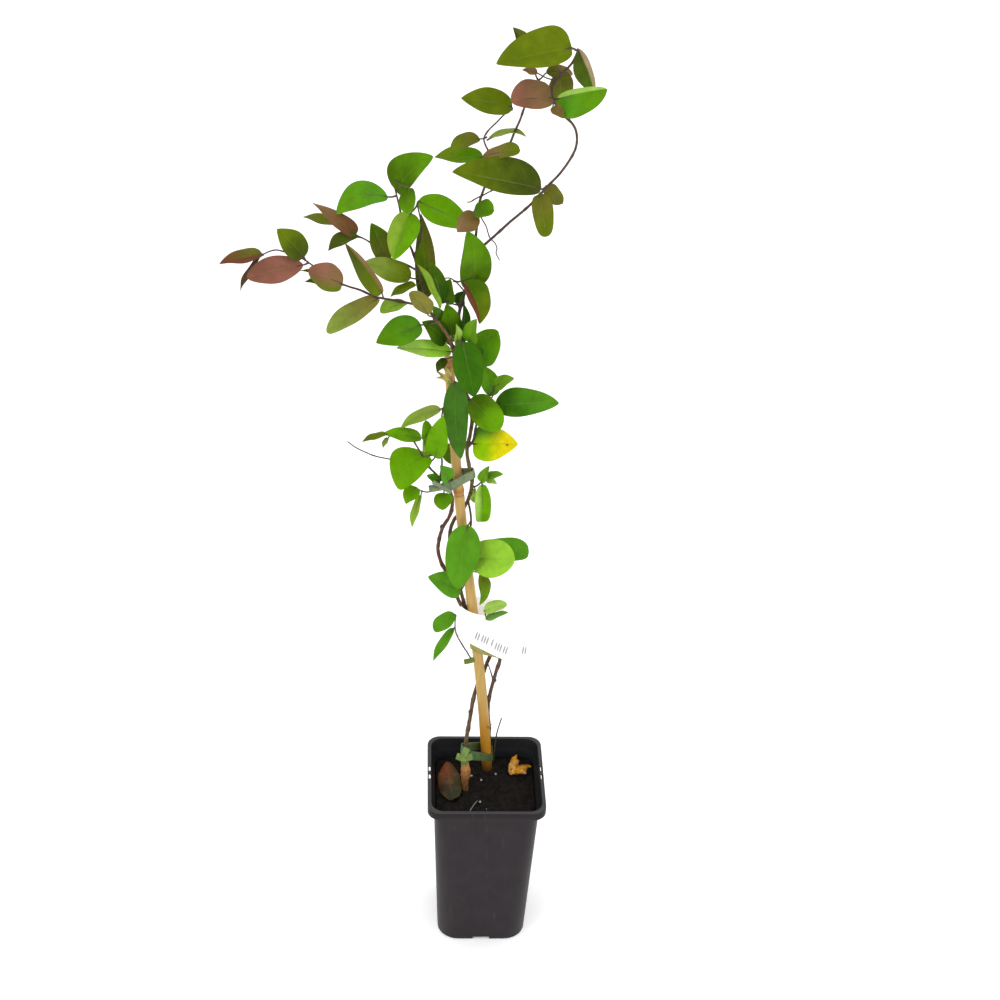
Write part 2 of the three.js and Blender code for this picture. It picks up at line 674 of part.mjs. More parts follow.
// Where a pole goes through a sloping level: the middle of the oval it makes there, its radius, and how far the
// oval is drawn out along the pole's lean
function crossing({ curve, start, end }, centre, axes, level) {
  const steps = 600;
  let before = null;
  for (let i = 0; i <= steps; i++) {
    const at = curve.getPoint(i / steps).sub(centre);
    const height = at.dot(axes.n) - level;
    if (before !== null && before * height <= 0) {
      const heading = curve.getTangent(i / steps);
      const lean = new THREE.Vector2(heading.dot(axes.u), heading.dot(axes.v)).normalize();
      const draw = 1 / Math.abs(heading.dot(axes.n));
      const middle = new THREE.Vector2(at.dot(axes.u), at.dot(axes.v));
      return { middle, lean, draw, radius: THREE.MathUtils.lerp(start, end, i / steps) };
    }
    before = height;
  }
  return null;
}

// The point of an oval that lies farthest in a direction
function farthest({ middle, lean, draw, radius }, direction) {
  const share = direction.dot(lean);
  const pull = direction.clone().addScaledVector(lean, share * (draw * draw - 1));
  return middle.clone().addScaledVector(pull, radius / Math.sqrt(direction.dot(pull)));
}

// A closed band of tape on a slope, drawn tight round the poles that it holds
function tieLoop(tie) {
  const centre = seen(tie.centre);
  const axes = slopeAxes(tie.slope);
  const edge = (level, extra) => {
    const ovals = tie.around.map((name) => crossing(poles[name], centre, axes, level));
    return bandRing(14, (x, y) => {
      const direction = new THREE.Vector2(x, y);
      const ends = ovals.map((oval) => farthest(oval, direction));
      const end = ends.reduce((best, place) => (place.dot(direction) > best.dot(direction) ? place : best));
      return onSlope(centre, axes, end.x + extra * x, end.y + extra * y, level);
    });
  };
  const levels = [-tapeWidth / 2, 0, tapeWidth / 2];
  const clear = 2.6 * gap;
  const outer = levels.map((level) => edge(level, clear + tapeThickness));
  const inner = levels.map((level) => edge(level, clear));
  return band(outer, inner);
}

function bandRing(sides, placeAt) {
  return Array.from({ length: sides }, (_, s) => {
    const angle = 2 * Math.PI * s / sides;
    return placeAt(Math.cos(angle), Math.sin(angle));
  });
}

// A closed band between outer and inner rings, which rise level by level
function band(outer, inner) {
  const rings = [...outer, ...inner.reverse()];
  const sides = rings[0].length;
  const faces = [];
  for (let r = 0; r < rings.length; r++) {
    for (let s = 0; s < sides; s++) faces.push(...patch(r, (r + 1) % rings.length, s, sides));
  }
  return solid(rings.flat(), faces);
}

// A flat strip along a smooth path. across gives the direction of its width where its heading is known.
function strip(points, across, width, thickness, steps) {
  const curve = new THREE.CatmullRomCurve3(points, false, 'centripetal');
  const rings = [];
  for (let i = 0; i <= steps; i++) {
    const at = curve.getPointAt(i / steps);
    const heading = curve.getTangentAt(i / steps);
    const side = across(heading).normalize();
    const normal = new THREE.Vector3().crossVectors(side, heading).normalize();
    rings.push([[1, 1], [-1, 1], [-1, -1], [1, -1]].map(([n, w]) => at.clone()
      .addScaledVector(normal, n * thickness / 2)
      .addScaledVector(side, w * width / 2)));
  }
  return loft(rings);
}

// A loose end or a fold of a tie, its broad side towards the viewer
function tail(path, width, thickness) {
  const points = path.map(seen);
  const across = (heading) => heading.clone().cross(eye.clone().sub(points[0]));
  return strip(points, across, width, thickness, 3);
}

function tieSolid(tie) {
  const tails = tie.tails.map(([path, width, thickness]) => tail(path, width, thickness));
  return union([tieLoop(tie), ...tails]);
}

const ties = {
  tie_lower: {
    centre: [478, 753, 20],
    slope: -35,
    around: ['left', 'cane', 'right'],
    tails: [
      [[[470, 747, 6], [467, 756, 2], [466, 766, 3]], 9, 2],
      [[[472, 755, 6], [464, 757, 1.5], [456, 757, 2]], 8, 1.4],
    ],
  },
  tie_upper: {
    centre: [485, 648, 27],
    slope: -24,
    around: ['left', 'cane', 'right'],
    tails: [
      [[[474, 646, 22], [469, 656, 16], [463, 663, 14]], 5, 1.2],
    ],
  },
  tie_middle: {
    centre: [461, 478, 22],
    slope: 32,
    around: ['left', 'cane', 'right'],
    tails: [
      [[[449, 486, 14], [441, 487, 2], [429, 489, -4]], 6, 1],
      [[[451, 492, 13], [443, 488, 3], [433, 482, -7]], 3, 1],
    ],
  },
};

// The label: a strip in a loose loop round the stems, with its end standing off to the right
function label() {
  const centre = seen([479.5, 620, 28]);
  const axes = slopeAxes(-8);
  const ringsAt = (inset) => [-labelWidth / 2, labelWidth / 2].map((level) => bandRing(18, (x, y) => (
    onSlope(centre, axes, (labelLoopAcross / 2 - inset) * x, (labelLoopDeep / 2 - inset) * y, level)
  )));
  const loop = band(ringsAt(0), ringsAt(labelThickness));
  const path = [
    [476, 629.5, 13.4], [481, 632, 13], [490, 636.5, 12.3], [502, 642, 12.5], [516, 647, 15], [531, 650, 19],
  ];
  const upright = (heading) => new THREE.Vector3(0, 0, 1).addScaledVector(heading, -heading.z);
  return union([loop, strip(path.map(seen), upright, labelWidth, labelThickness, 7)]);
}

// Litter on the soil

const dryForm = { bow: 4, fold: -16, wave: 1.6, waves: 2, base: 0.5, point: 0.6 };
const litter = {
  dry_leaf_left: leaf(ground([453, 799], 158.9), ground([447, 763], 162.6), 21, 0, dryForm),
  dry_leaf_right: leaf(ground([511, 774], 160.5), ground([528, 761], 163), 16, 0, dryForm),
};

function straw(swell = 0) {
  const path = [ground([493, 762], soilHeight), seen([496.5, 735, 38]), seen([501.5, 718, 39])];
  const points = sunkBelow(path, 12);
  return tube(points, strawRadius, strawRadius * 0.8, { sides: 5, step: 14, swell });
}

// The pot

// A ring of points round a square with rounded corners
function roundedSquare(width, corner, z, steps = 3) {
  const ring = [];
  for (let c = 0; c < 4; c++) {
    const middle = Math.PI / 4 + c * Math.PI / 2;
    const reach = (width / 2 - corner) * Math.SQRT2;
    const centre = [reach * Math.cos(middle), reach * Math.sin(middle)];
    for (let i = 0; i <= steps; i++) {
      const angle = middle + (i / steps - 0.5) * Math.PI / 2;
      const [x, y] = centre;
      ring.push(new THREE.Vector3(x + corner * Math.cos(angle), y + corner * Math.sin(angle), z));
    }
  }
  return ring;
}

// The width of the pot's body at a height
function bodyWidth(z) {
  return THREE.MathUtils.lerp(baseWidth, bodyTopWidth, z / (potHeight - collarHeight));
}

function cornerAt(z) {
  return THREE.MathUtils.lerp(baseCorner, rimCorner, z / potHeight);
}

function pot() {
  const under = potHeight - collarHeight;
  const inside = rimWidth - 2 * lipWidth;
  const outer = [
    [baseWidth - 2, 0], [baseWidth, 1], [bodyWidth(under), under], [inside + 1.2, potHeight - 3],
    [inside + 2 * wall, potHeight - wall], [rimWidth - 2 * wall, potHeight - wall],
    [rimWidth - 2 * wall, potHeight - skirtHeight], [rimWidth, potHeight - skirtHeight],
    [rimWidth, potHeight - 0.6], [rimWidth - 1.2, potHeight],
    [inside + 0.8, potHeight], [inside, potHeight - 0.5],
    [inside - 1.4, potHeight - 3], [bodyWidth(under) - 2 * wall, under + 0.6],
    [bodyWidth(floorThickness) - 2 * wall, floorThickness],
  ];
  const rings = outer.map(([width, z]) => roundedSquare(width, cornerAt(z), z));
  let shape = loft(rings);
  const box = (x, y, z, at) => solidFrom(
    new THREE.BoxGeometry(x, y, z),
    new THREE.Matrix4().makeTranslation(at[0], at[1], at[2]),
  );
  const drainAt = baseWidth / 2 - drainDepth / 2 + 1;
  for (const way of [-1, 1]) {
    const lift = drainHeight / 2 - 1;
    shape = shape.subtract(box(drainDepth + 2, drainWidth, drainHeight + 2, [way * drainAt, 0, lift]));
    shape = shape.subtract(box(drainWidth, drainDepth + 2, drainHeight + 2, [0, way * drainAt, lift]));
    for (const along of [-slotSpacing / 2, slotSpacing / 2]) {
      const at = [way * (rimWidth / 2 - slotInset), along + 2, potHeight - 2];
      shape = shape.subtract(box(slotAcross, slotLength, 6, at));
    }
  }
  return shape;
}

function soil() {
  const side = 0.5;
  const low = floorThickness + gap;
  const widthAt = (z) => bodyWidth(z) - 2 * wall - 2 * gap - side;
  const rings = [
    roundedSquare(widthAt(low) - 1, cornerAt(low), low),
    roundedSquare(widthAt(soilHeight), cornerAt(soilHeight) - 1, soilHeight - 1),
  ];
  for (const share of [0.78, 0.5, 0.22]) {
    const ring = roundedSquare(widthAt(soilHeight) * share, cornerAt(soilHeight) * share, soilHeight);
    ring.forEach((p) => {
      p.z += soilBump * Math.sin(p.x * 0.17 + 1) * Math.cos(p.y * 0.21);
    });
    rings.push(ring);
  }
  return loft(rings);
}

const group = new THREE.Group();

function add(name, shape, colour, roughness, metalness = 0) {
  const mesh = largestOf(shape).getMesh();
  const geometry = new THREE.BufferGeometry();
  geometry.setAttribute('position', new THREE.BufferAttribute(new Float32Array(mesh.vertProperties), 3));
  geometry.setIndex(new THREE.BufferAttribute(new Uint32Array(mesh.triVerts), 1));
  geometry.computeVertexNormals();
  const material = new THREE.MeshStandardMaterial({ color: colour, roughness, metalness });
  const part = new THREE.Mesh(geometry, material);
  part.name = name;
  group.add(part);
}

const cleared = [cane(gap), leftStem(gap), rightStem(gap)];
const cutFrom = (shape, cutters) => cutters.reduce((left, cutter) => left.subtract(cutter), shape);

add('pot', pot(), 0x35322f, 0.45);
const bedded = Object.values(litter).map((blade) => leafSolid(blade, [], dryThickness + 2 * gap));
add('soil', cutFrom(soil(), [...cleared, ...bedded, straw(gap)]), 0x241d17, 0.95);
add('cane', cane(), 0xb58a45, 0.6);
add('stem_left', leftStem().subtract(cane(gap)), 0x4c3a2e, 0.8);
add('stem_right', cutFrom(rightStem(), [cane(gap), leftStem(gap)]), 0x4c3a2e, 0.8);
for (const [name, shoot] of Object.entries(shoots)) {
  add(name, cutFrom(shootSolid(shoot), cleared), 0x4f8a1c, 0.55);
  cleared.push(shootStems(shoot, gap));
}
for (const [name, tie] of Object.entries(ties)) add(name, cutFrom(tieSolid(tie), cleared), 0x6f8158, 0.5);
add('label', cutFrom(label(), cleared), 0xf4f5f2, 0.5);
for (const [name, blade] of Object.entries(litter)) {
  add(name, leafSolid(blade, [], dryThickness), 0x6e4a24, 0.8);
}
add('straw', straw(), 0x8a7d5a, 0.8);

export default group;
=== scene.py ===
# %% [markdown]
# # A honeysuckle in a nursery pot
# A young climbing honeysuckle winds up a bamboo cane in a tall square pot. The cane, the pot and every
# leafy shoot have their places in the packed model, so this lesson never fits anything by eye: it loads
# that model as a fixed frame, and dresses each of its nodes with a finer piece in the same place.

# %% Load the frame
import bmesh
import bpy
import numpy as np
from mathutils import Matrix, Vector, noise


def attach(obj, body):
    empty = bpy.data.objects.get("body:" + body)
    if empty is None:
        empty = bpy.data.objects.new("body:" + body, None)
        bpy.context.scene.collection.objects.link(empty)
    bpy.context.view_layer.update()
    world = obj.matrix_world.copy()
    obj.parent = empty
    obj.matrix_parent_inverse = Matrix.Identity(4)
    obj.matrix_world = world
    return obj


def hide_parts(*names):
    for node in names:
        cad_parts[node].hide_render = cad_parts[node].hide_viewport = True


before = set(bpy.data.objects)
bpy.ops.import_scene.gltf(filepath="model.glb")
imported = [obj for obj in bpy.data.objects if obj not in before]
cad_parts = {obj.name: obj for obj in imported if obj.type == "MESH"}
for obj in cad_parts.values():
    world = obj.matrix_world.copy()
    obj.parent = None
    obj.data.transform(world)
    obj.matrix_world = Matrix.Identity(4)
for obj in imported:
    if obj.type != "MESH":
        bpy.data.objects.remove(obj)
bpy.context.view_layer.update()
MM = 0.001


def piece(name, data):
    """An object of that name in the scene. data is its mesh, its camera or its lamp."""
    data.name = name
    made = bpy.data.objects.new(name, data)
    bpy.context.scene.collection.objects.link(made)
    return made


# %% [markdown]
# # The sight
# Leaves and stems have no sizes that a ruler could take, so their places are given as they are seen: how
# far across and down a square view of 1000 steps, and how deep behind the middle of the pot in
# millimetres. The view is that of one camera, fitted to the pot's rim and base. The same numbers then
# place the camera, so what is seen stays seen.

# %% The camera's place and directions
SIGHT = 1000
EYE = np.array([-74.0, -1223.0, 1252.0])
PITCH, YAW, ROLL = np.radians([32.13, 3.54, 2.62])
FOCAL = 1700.0
SENSOR = 36.0

AHEAD = np.array([np.sin(YAW) * np.cos(PITCH), np.cos(YAW) * np.cos(PITCH), -np.sin(PITCH)])
level_right = np.array([np.cos(YAW), -np.sin(YAW), 0.0])
level_up = np.cross(level_right, AHEAD)
RIGHT = level_right * np.cos(ROLL) + level_up * np.sin(ROLL)
ABOVE = np.cross(RIGHT, AHEAD)


def seen(across, down, depth):
    """The place in mm that is seen there and lies at that depth."""
    ray = AHEAD + RIGHT * (across - SIGHT / 2) / FOCAL + ABOVE * (SIGHT / 2 - down) / FOCAL
    return EYE + ray * (depth - EYE[1]) / ray[1]


def all_seen(spots):
    return [seen(*spot) for spot in spots]


def ground(across, down, height):
    """The place in mm that is seen there and lies at that height."""
    sight = seen(across, down, 0) - EYE
    return EYE + sight * (height - EYE[2]) / sight[2]


camera_data = bpy.data.cameras.new("camera")
camera_data.sensor_width = SENSOR
camera_data.lens = FOCAL / SIGHT * SENSOR
camera = piece("camera", camera_data)
camera.matrix_world = Matrix([*np.stack([RIGHT, ABOVE, -AHEAD, EYE * MM], 1), (0, 0, 0, 1)])
bpy.context.scene.camera = camera
print("lens in mm:", round(camera_data.lens, 1), "eye in mm:", EYE)

# %% [markdown]
# # Node trees as sums
# A pattern such as a leaf's veins is a formula. Blender writes a formula as boxes and wires, which are
# slow to read. So one small class holds a wire, and its plus, minus, times and power add the boxes.
# Numbers go through Math, vectors through Vector Math, and colours through Mix. Geometry trees use the
# same boxes, so the class serves both.

# %% A wire that can be used in sums


class Wire:
    def __init__(self, tree, socket):
        self.tree, self.socket = tree, socket

    def _sum(self, operation, other, swap=False):
        pair = (other, self) if swap else (self, other)
        vectors = [isinstance(x, Wire) and x.socket.type == "VECTOR" for x in (self, other)]
        kind = "ShaderNodeVectorMath" if any(vectors) else "ShaderNodeMath"
        if operation == "MULTIPLY" and sum(vectors) == 1:
            vector, number = (self, other) if vectors[0] else (other, self)
            return self.tree.node(kind, {"operation": "SCALE"}, {0: vector, "Scale": number})
        return self.tree.node(kind, {"operation": operation}, {0: pair[0], 1: pair[1]})

    def __add__(self, other): return self._sum("ADD", other)
    def __radd__(self, other): return self._sum("ADD", other)
    def __sub__(self, other): return self._sum("SUBTRACT", other)
    def __rsub__(self, other): return self._sum("SUBTRACT", other, swap=True)
    def __mul__(self, other): return self._sum("MULTIPLY", other)
    def __rmul__(self, other): return self._sum("MULTIPLY", other)
    def __truediv__(self, other): return self._sum("DIVIDE", other)
    def __rtruediv__(self, other): return self._sum("DIVIDE", other, swap=True)
    def __pow__(self, other): return self._sum("POWER", other)
    def __neg__(self): return self * -1.0


print("a wire is ready for sums")

# %% The tree that holds the wires


class Tree:
    def __init__(self, data):
        self.data = data

    def node(self, kind, settings=None, inputs=None, out=0):
        """A new node: its settings first, then its sockets' values or wires. Gives the wire out of it."""
        made = self.data.nodes.new(kind)
        for name, value in (settings or {}).items():
            setattr(made, name, value)
        for name, value in (inputs or {}).items():
            socket = made.inputs[name] if isinstance(name, int) else socket_named(made.inputs, name)
            wires = value if isinstance(value, list) else [value]
            if isinstance(wires[0], Wire):
                for wire in wires:
                    self.data.links.new(wire.socket, socket)
            else:
                socket.default_value = value
        return Wire(self, made.outputs[out]) if made.outputs else made

    def function(self, operation, *values):
        return self.node("ShaderNodeMath", {"operation": operation}, dict(enumerate(values)))

    def sine(self, value): return self.function("SINE", value)
    def cosine(self, value): return self.function("COSINE", value)
    def absolute(self, value): return self.function("ABSOLUTE", value)
    def above(self, value, limit): return self.function("GREATER_THAN", value, limit)

    def smooth(self, value, low, high):
        """0 below low, 1 above high, and a soft step between."""
        limits = {"Value": value, "From Min": low, "From Max": high}
        return self.node("ShaderNodeMapRange", {"interpolation_type": "SMOOTHSTEP"}, limits)

    def bump_at(self, value, middle, width):
        """1 where value is middle, and 0 from width away on."""
        away = self.absolute(value - middle)
        return 1.0 - self.smooth(away, 0.0, width)

    def blend(self, share, first, second, how="MIX"):
        """Two colours mixed."""
        settings = {"data_type": "RGBA", "blend_type": how, "clamp_result": True}
        values = {"Factor_Float": share, "A_Color": first, "B_Color": second}
        return self.node("ShaderNodeMix", settings, values, 2)

    def wash(self, colour, value, low, high, share, tone):
        """A colour, washed with a tone up to that share where value goes from low to high."""
        return self.blend(self.smooth(value, low, high) * share, colour, tone)

    def split(self, vector):
        made = self.node("ShaderNodeSeparateXYZ", None, {0: vector}).socket.node
        return [Wire(self, socket) for socket in made.outputs]

    def joined(self, x, y, z):
        return self.node("ShaderNodeCombineXYZ", None, {0: x, 1: y, 2: z})

    def noise(self, where, scale, detail=3.0, roughness=0.55):
        values = {"Vector": where, "Scale": scale, "Detail": detail, "Roughness": roughness}
        return self.node("ShaderNodeTexNoise", None, values)


def socket_named(sockets, name):
    exact = [s for s in sockets if s.identifier == name]
    return exact[0] if exact else next(s for s in sockets if s.name == name and s.enabled)


print("helpers of a tree:", *[name for name in vars(Tree) if not name.startswith("_")])

# %% A colour as the eye names it, and a finish


def tint(red, green, blue):
    """A colour from 0 to 255 as a screen shows it, as Blender's linear light."""
    share = np.array([red, green, blue]) / 255
    light = np.where(share <= 0.04045, share / 12.92, ((share + 0.055) / 1.055) ** 2.4)
    return (*[round(float(x), 5) for x in light], 1.0)


def finish(name, paint, **fixed):
    """A material. paint gets the tree and gives the wires of the sockets that vary."""
    material = bpy.data.materials.new(name)
    material.use_nodes = True
    tree = Tree(material.node_tree)
    shader = material.node_tree.nodes["Principled BSDF"]
    for socket, value in fixed.items():
        shader.inputs[socket.replace("_", " ")].default_value = value
    for socket, wire in paint(tree).items():
        target = shader.inputs[socket.replace("_", " ")]
        if isinstance(wire, Wire):
            material.node_tree.links.new(wire.socket, target)
        else:
            target.default_value = wire
    return material


def place_of(tree):
    return tree.node("ShaderNodeTexCoord", None, None, "Object")


def own(tree, name, out="Fac"):
    """A number, vector or colour that the mesh carries under that name."""
    return tree.node("ShaderNodeAttribute", {"attribute_name": name}, None, out)


def surface(tree, colour, rough, height, reach, strength):
    """The wires of a rough surface. reach is how far a height of 1 stands out, in metres."""
    bump = tree.node("ShaderNodeBump", None, {"Height": height, "Distance": reach, "Strength": strength})
    return {"Base_Color": colour, "Roughness": rough, "Normal": bump}


print("olive green is", tint(93, 125, 12))

# %% [markdown]
# # Geometry trees
# A geometry tree is a machine with named inputs: points go in, leaves come out. Three helpers are enough
# here. One makes the tree with its inputs, one gives the points of a mesh their numbers, and one runs the
# tree and keeps the result as a plain mesh, because what is handed on has no live machine in it.

# %% A geometry tree with named inputs, run once


class Machine(Tree):
    def __init__(self, name, sizes):
        super().__init__(bpy.data.node_groups.new(name, "GeometryNodeTree"))
        interface = self.data.interface
        interface.new_socket("Geometry", in_out="INPUT", socket_type="NodeSocketGeometry")
        interface.new_socket("Geometry", in_out="OUTPUT", socket_type="NodeSocketGeometry")
        kinds = {float: "NodeSocketFloat", int: "NodeSocketInt", bpy.types.Material: "NodeSocketMaterial"}
        for label, value in sizes.items():
            kind = next(k for python, k in kinds.items() if isinstance(value, python))
            interface.new_socket(label, in_out="INPUT", socket_type=kind)
        self.entry = self.data.nodes.new("NodeGroupInput")
        self.exit = self.data.nodes.new("NodeGroupOutput")
        self.sizes = sizes

    def size(self, label):
        return Wire(self, self.entry.outputs[label])

    @property
    def start(self):
        return Wire(self, self.entry.outputs["Geometry"])

    def own(self, name, kind="FLOAT"):
        return self.node("GeometryNodeInputNamedAttribute", {"data_type": kind}, {"Name": name})

    def store(self, geometry, name, value, kind="FLOAT", domain="POINT"):
        settings = {"data_type": kind, "domain": domain}
        values = {"Geometry": geometry, "Name": name, "Value": value}
        return self.node("GeometryNodeStoreNamedAttribute", settings, values)

    def moved(self, geometry, position=None, offset=None):
        values = {"Geometry": geometry}
        if position is not None:
            values["Position"] = position
        if offset is not None:
            values["Offset"] = offset
        return self.node("GeometryNodeSetPosition", None, values)

    def dressed(self, geometry, material):
        return self.node("GeometryNodeSetMaterial", None, {"Geometry": geometry, "Material": material})

    def smoothed(self, geometry, sharp_from):
        """Smooth faces, with a sharp edge wherever two of them meet at more than that angle."""
        result = self.node("GeometryNodeSetShadeSmooth", {"domain": "FACE"}, {"Geometry": geometry})
        sharp = self.above(self.node("GeometryNodeInputMeshEdgeAngle"), np.radians(sharp_from))
        values = {"Geometry": result, "Selection": sharp, "Shade Smooth": False}
        return self.node("GeometryNodeSetShadeSmooth", {"domain": "EDGE"}, values)

    def close(self, geometry):
        self.data.links.new(geometry.socket, self.exit.inputs["Geometry"])

    def run(self, name, mesh, **sizes):
        """The machine's result on a mesh, as a plain object."""
        base = piece(name + "_base", mesh)
        modifier = base.modifiers.new("machine", "NODES")
        modifier.node_group = self.data
        inputs = {s.name: s.identifier for s in self.data.interface.items_tree if s.in_out == "INPUT"}
        for label, value in {**self.sizes, **sizes}.items():
            modifier[inputs[label]] = value
        return piece(name, flattened(base))


print("helpers of a machine:", *[name for name in vars(Machine) if not name.startswith("_")])

# %% Meshes out of live things, numbers on a mesh, and the hand-over to the frame


def flattened(thing):
    """The mesh that a thing's modifiers give. The thing itself goes."""
    mesh = bpy.data.meshes.new_from_object(thing.evaluated_get(bpy.context.evaluated_depsgraph_get()))
    bpy.data.objects.remove(thing)
    return mesh


def carry(mesh, name, values):
    """Gives each point of a mesh its own number, vector or colour under that name."""
    values = np.array(values, np.float32)
    wide = values.size // len(values)
    kind, field = {1: ("FLOAT", "value"), 3: ("FLOAT_VECTOR", "vector"), 4: ("FLOAT_COLOR", "color")}[wide]
    mesh.attributes.new(name, kind, "POINT").data.foreach_set(field, values.ravel())


def faces_of(thing):
    return sum(len(p.vertices) - 2 for p in thing.data.polygons)


def stands_for(thing, slot, *nodes):
    """Hands a finished piece to the frame: it rides on the one body and takes the place of those nodes."""
    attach(thing, "root")
    if nodes:
        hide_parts(*nodes)
    print(f"{thing.name}: {faces_of(thing)} triangles")


print("every finished piece rides on the body root")

# %% [markdown]
# # Smooth paths
# A stem is known by a few places along it. The curve through them is a centripetal one, which never loops
# between close points. It is drawn once as a fine line, then read at even steps of its real length.

# %% A smooth curve through points


def smooth_line(points, fine=24):
    """Many points of the smooth curve through points, fine of them between each pair."""
    p = np.asarray(points, float)
    p = np.vstack([2 * p[0] - p[1], p, 2 * p[-1] - p[-2]])
    line = []
    for i in range(1, len(p) - 2):
        four = p[i - 1:i + 3]
        gaps = np.sqrt(np.maximum(np.linalg.norm(np.diff(four, axis=0), axis=1), 1e-9))
        first = ((four[1] - four[0]) / gaps[0] - (four[2] - four[0]) / (gaps[0] + gaps[1])
                 + (four[2] - four[1]) / gaps[1]) * gaps[1]
        second = ((four[2] - four[1]) / gaps[1] - (four[3] - four[1]) / (gaps[1] + gaps[2])
                  + (four[3] - four[2]) / gaps[2]) * gaps[1]
        t = np.linspace(0, 1, fine, endpoint=False)[:, None]
        line.append((2 * t**3 - 3 * t**2 + 1) * four[1] + (t**3 - 2 * t**2 + t) * first
                    + (3 * t**2 - 2 * t**3) * four[2] + (t**3 - t**2) * second)
    return np.vstack([*line, p[-2]])


def reached(line):
    """How far along a line each of its points lies."""
    return np.concatenate([[0], np.cumsum(np.linalg.norm(np.diff(line, axis=0), axis=1))])


def read_at(line, places):
    """The points that lie that far along a line."""
    length = reached(line)
    return np.stack([np.interp(places, length, line[:, k]) for k in range(3)], 1)


def even_line(points, step):
    """The smooth curve read at even steps of about that length."""
    line = smooth_line(points)
    whole = reached(line)[-1]
    return read_at(line, np.linspace(0, whole, max(2, round(whole / step)) + 1))


def unit(vector):
    return vector / np.linalg.norm(vector)


print("a test line has", len(even_line([(0, 0, 0), (10, 0, 0), (20, 5, 0)], 1.0)), "points")

# %% [markdown]
# # The plan of the shoots
# Each leafy shoot is a list: its stems as seen paths with their thickness at both ends, and its leaves
# from foot to tip with their width. A shoot drifts towards or away from the viewer as it grows, because a
# vine is round and not flat. turn says how far a leaf's upper face is turned from the viewer up to the
# sky, in degrees. The rest of a leaf is its tones: the foot, the tip, one side, and the underside, each
# named after what the eye sees there.

# %% Tones of leaves, bark, tape and what lies on the soil
# deep is the dark green of leaves in the shade inside the head, so that shade is painted into their colour.
TONES_SEEN = {
    "moss": (70, 104, 4), "deep": (40, 78, 2), "olive": (98, 116, 10), "dark_olive": (68, 82, 16),
    "brown_olive": (101, 101, 32), "yellow_olive": (133, 154, 64), "pink_olive": (128, 122, 54),
    "green": (92, 143, 6), "grass": (86, 147, 26), "leafy": (105, 152, 28), "bright": (102, 158, 3),
    "fern": (68, 115, 32), "fern_deep": (54, 104, 8), "lime": (133, 168, 50), "fresh": (150, 203, 56),
    "pale_lime": (160, 200, 88), "pale_leaf": (110, 160, 70), "yellow": (232, 214, 12),
    "yellow_green": (146, 198, 2), "umber": (113, 90, 46), "bronze": (138, 108, 72),
    "pink_brown": (140, 90, 74), "purple": (118, 76, 50), "dark_purple": (80, 60, 40),
    "red_brown": (112, 66, 46), "under_green": (120, 146, 72), "under_pink": (168, 148, 112),
    "wine": (92, 72, 66), "tan": (135, 105, 60), "bamboo": (190, 152, 84), "stump_top": (190, 134, 80),
    "stump_foot": (112, 76, 36), "stem_brown": (104, 90, 62), "stem_red": (98, 64, 52),
    "stem_olive": (108, 94, 52), "nub": (176, 140, 74),
    "tape_olive": (158, 150, 82), "tape_moss": (104, 118, 48), "tape_grey": (122, 136, 104),
    "tape_green": (82, 112, 70), "tape_brown": (84, 84, 36), "tape_sage": (114, 138, 70),
    "straw": (84, 84, 62), "root": (150, 150, 140), "dry_red": (122, 62, 32), "dry_green": (46, 50, 36),
    "dry_dark": (48, 54, 28), "dry_dust": (96, 78, 50), "dry_orange": (204, 136, 24),
    "dry_pale": (214, 168, 96), "dry_brown": (134, 84, 30), "sheath": (214, 206, 126),
    "sheath_tip": (182, 170, 70), "grain": (170, 172, 170),
}
TONES = {name: tint(*seen_as) for name, seen_as in TONES_SEEN.items()}
print(len(TONES), "tones")

# %% How a stem, a leaf and a shoot are written down


def stem(path, thick, thin, tone="wine", end_tone=None):
    """Places as seen, the thickness in mm at both ends, and the tones of both ends."""
    return {"path": path, "thick": thick, "thin": thin, "tones": (tone, end_tone or tone)}


PLAIN_FORM = {"bow": 2.0, "swerve": 0.0, "fold": 14.0, "twist": 0.0, "wave": 0.8, "waves": 1.5,
              "base": 0.5, "point": 0.8, "right": 1.0, "left": 1.0, "curl": 0.0, "yellowing": 0.0}


def leaf(foot, tip, width, turn, tones="green", side=None, side_share=0.0, under="under_green", **form):
    """tones is one, or those of foot and tip. side tones one half, the right one if side_share is above 0."""
    pair = tones if isinstance(tones, tuple) else (tones, tones)
    return {"foot": foot, "tip": tip, "width": width, "turn": turn, "tones": pair, "side": side or pair[0],
            "side_share": side_share, "under": under, **PLAIN_FORM, **form}


SHOOTS = {}


def shoot(name, start, away, stems, leaves):
    """A shoot begins at start as seen. away says how it drifts from the viewer, against its reach."""
    SHOOTS[name] = {"start": start, "away": away, "stems": stems, "leaves": leaves}


print("a leaf has", len(leaf((0, 0, 0), (1, 1, 1), 10, 20)), "facts")

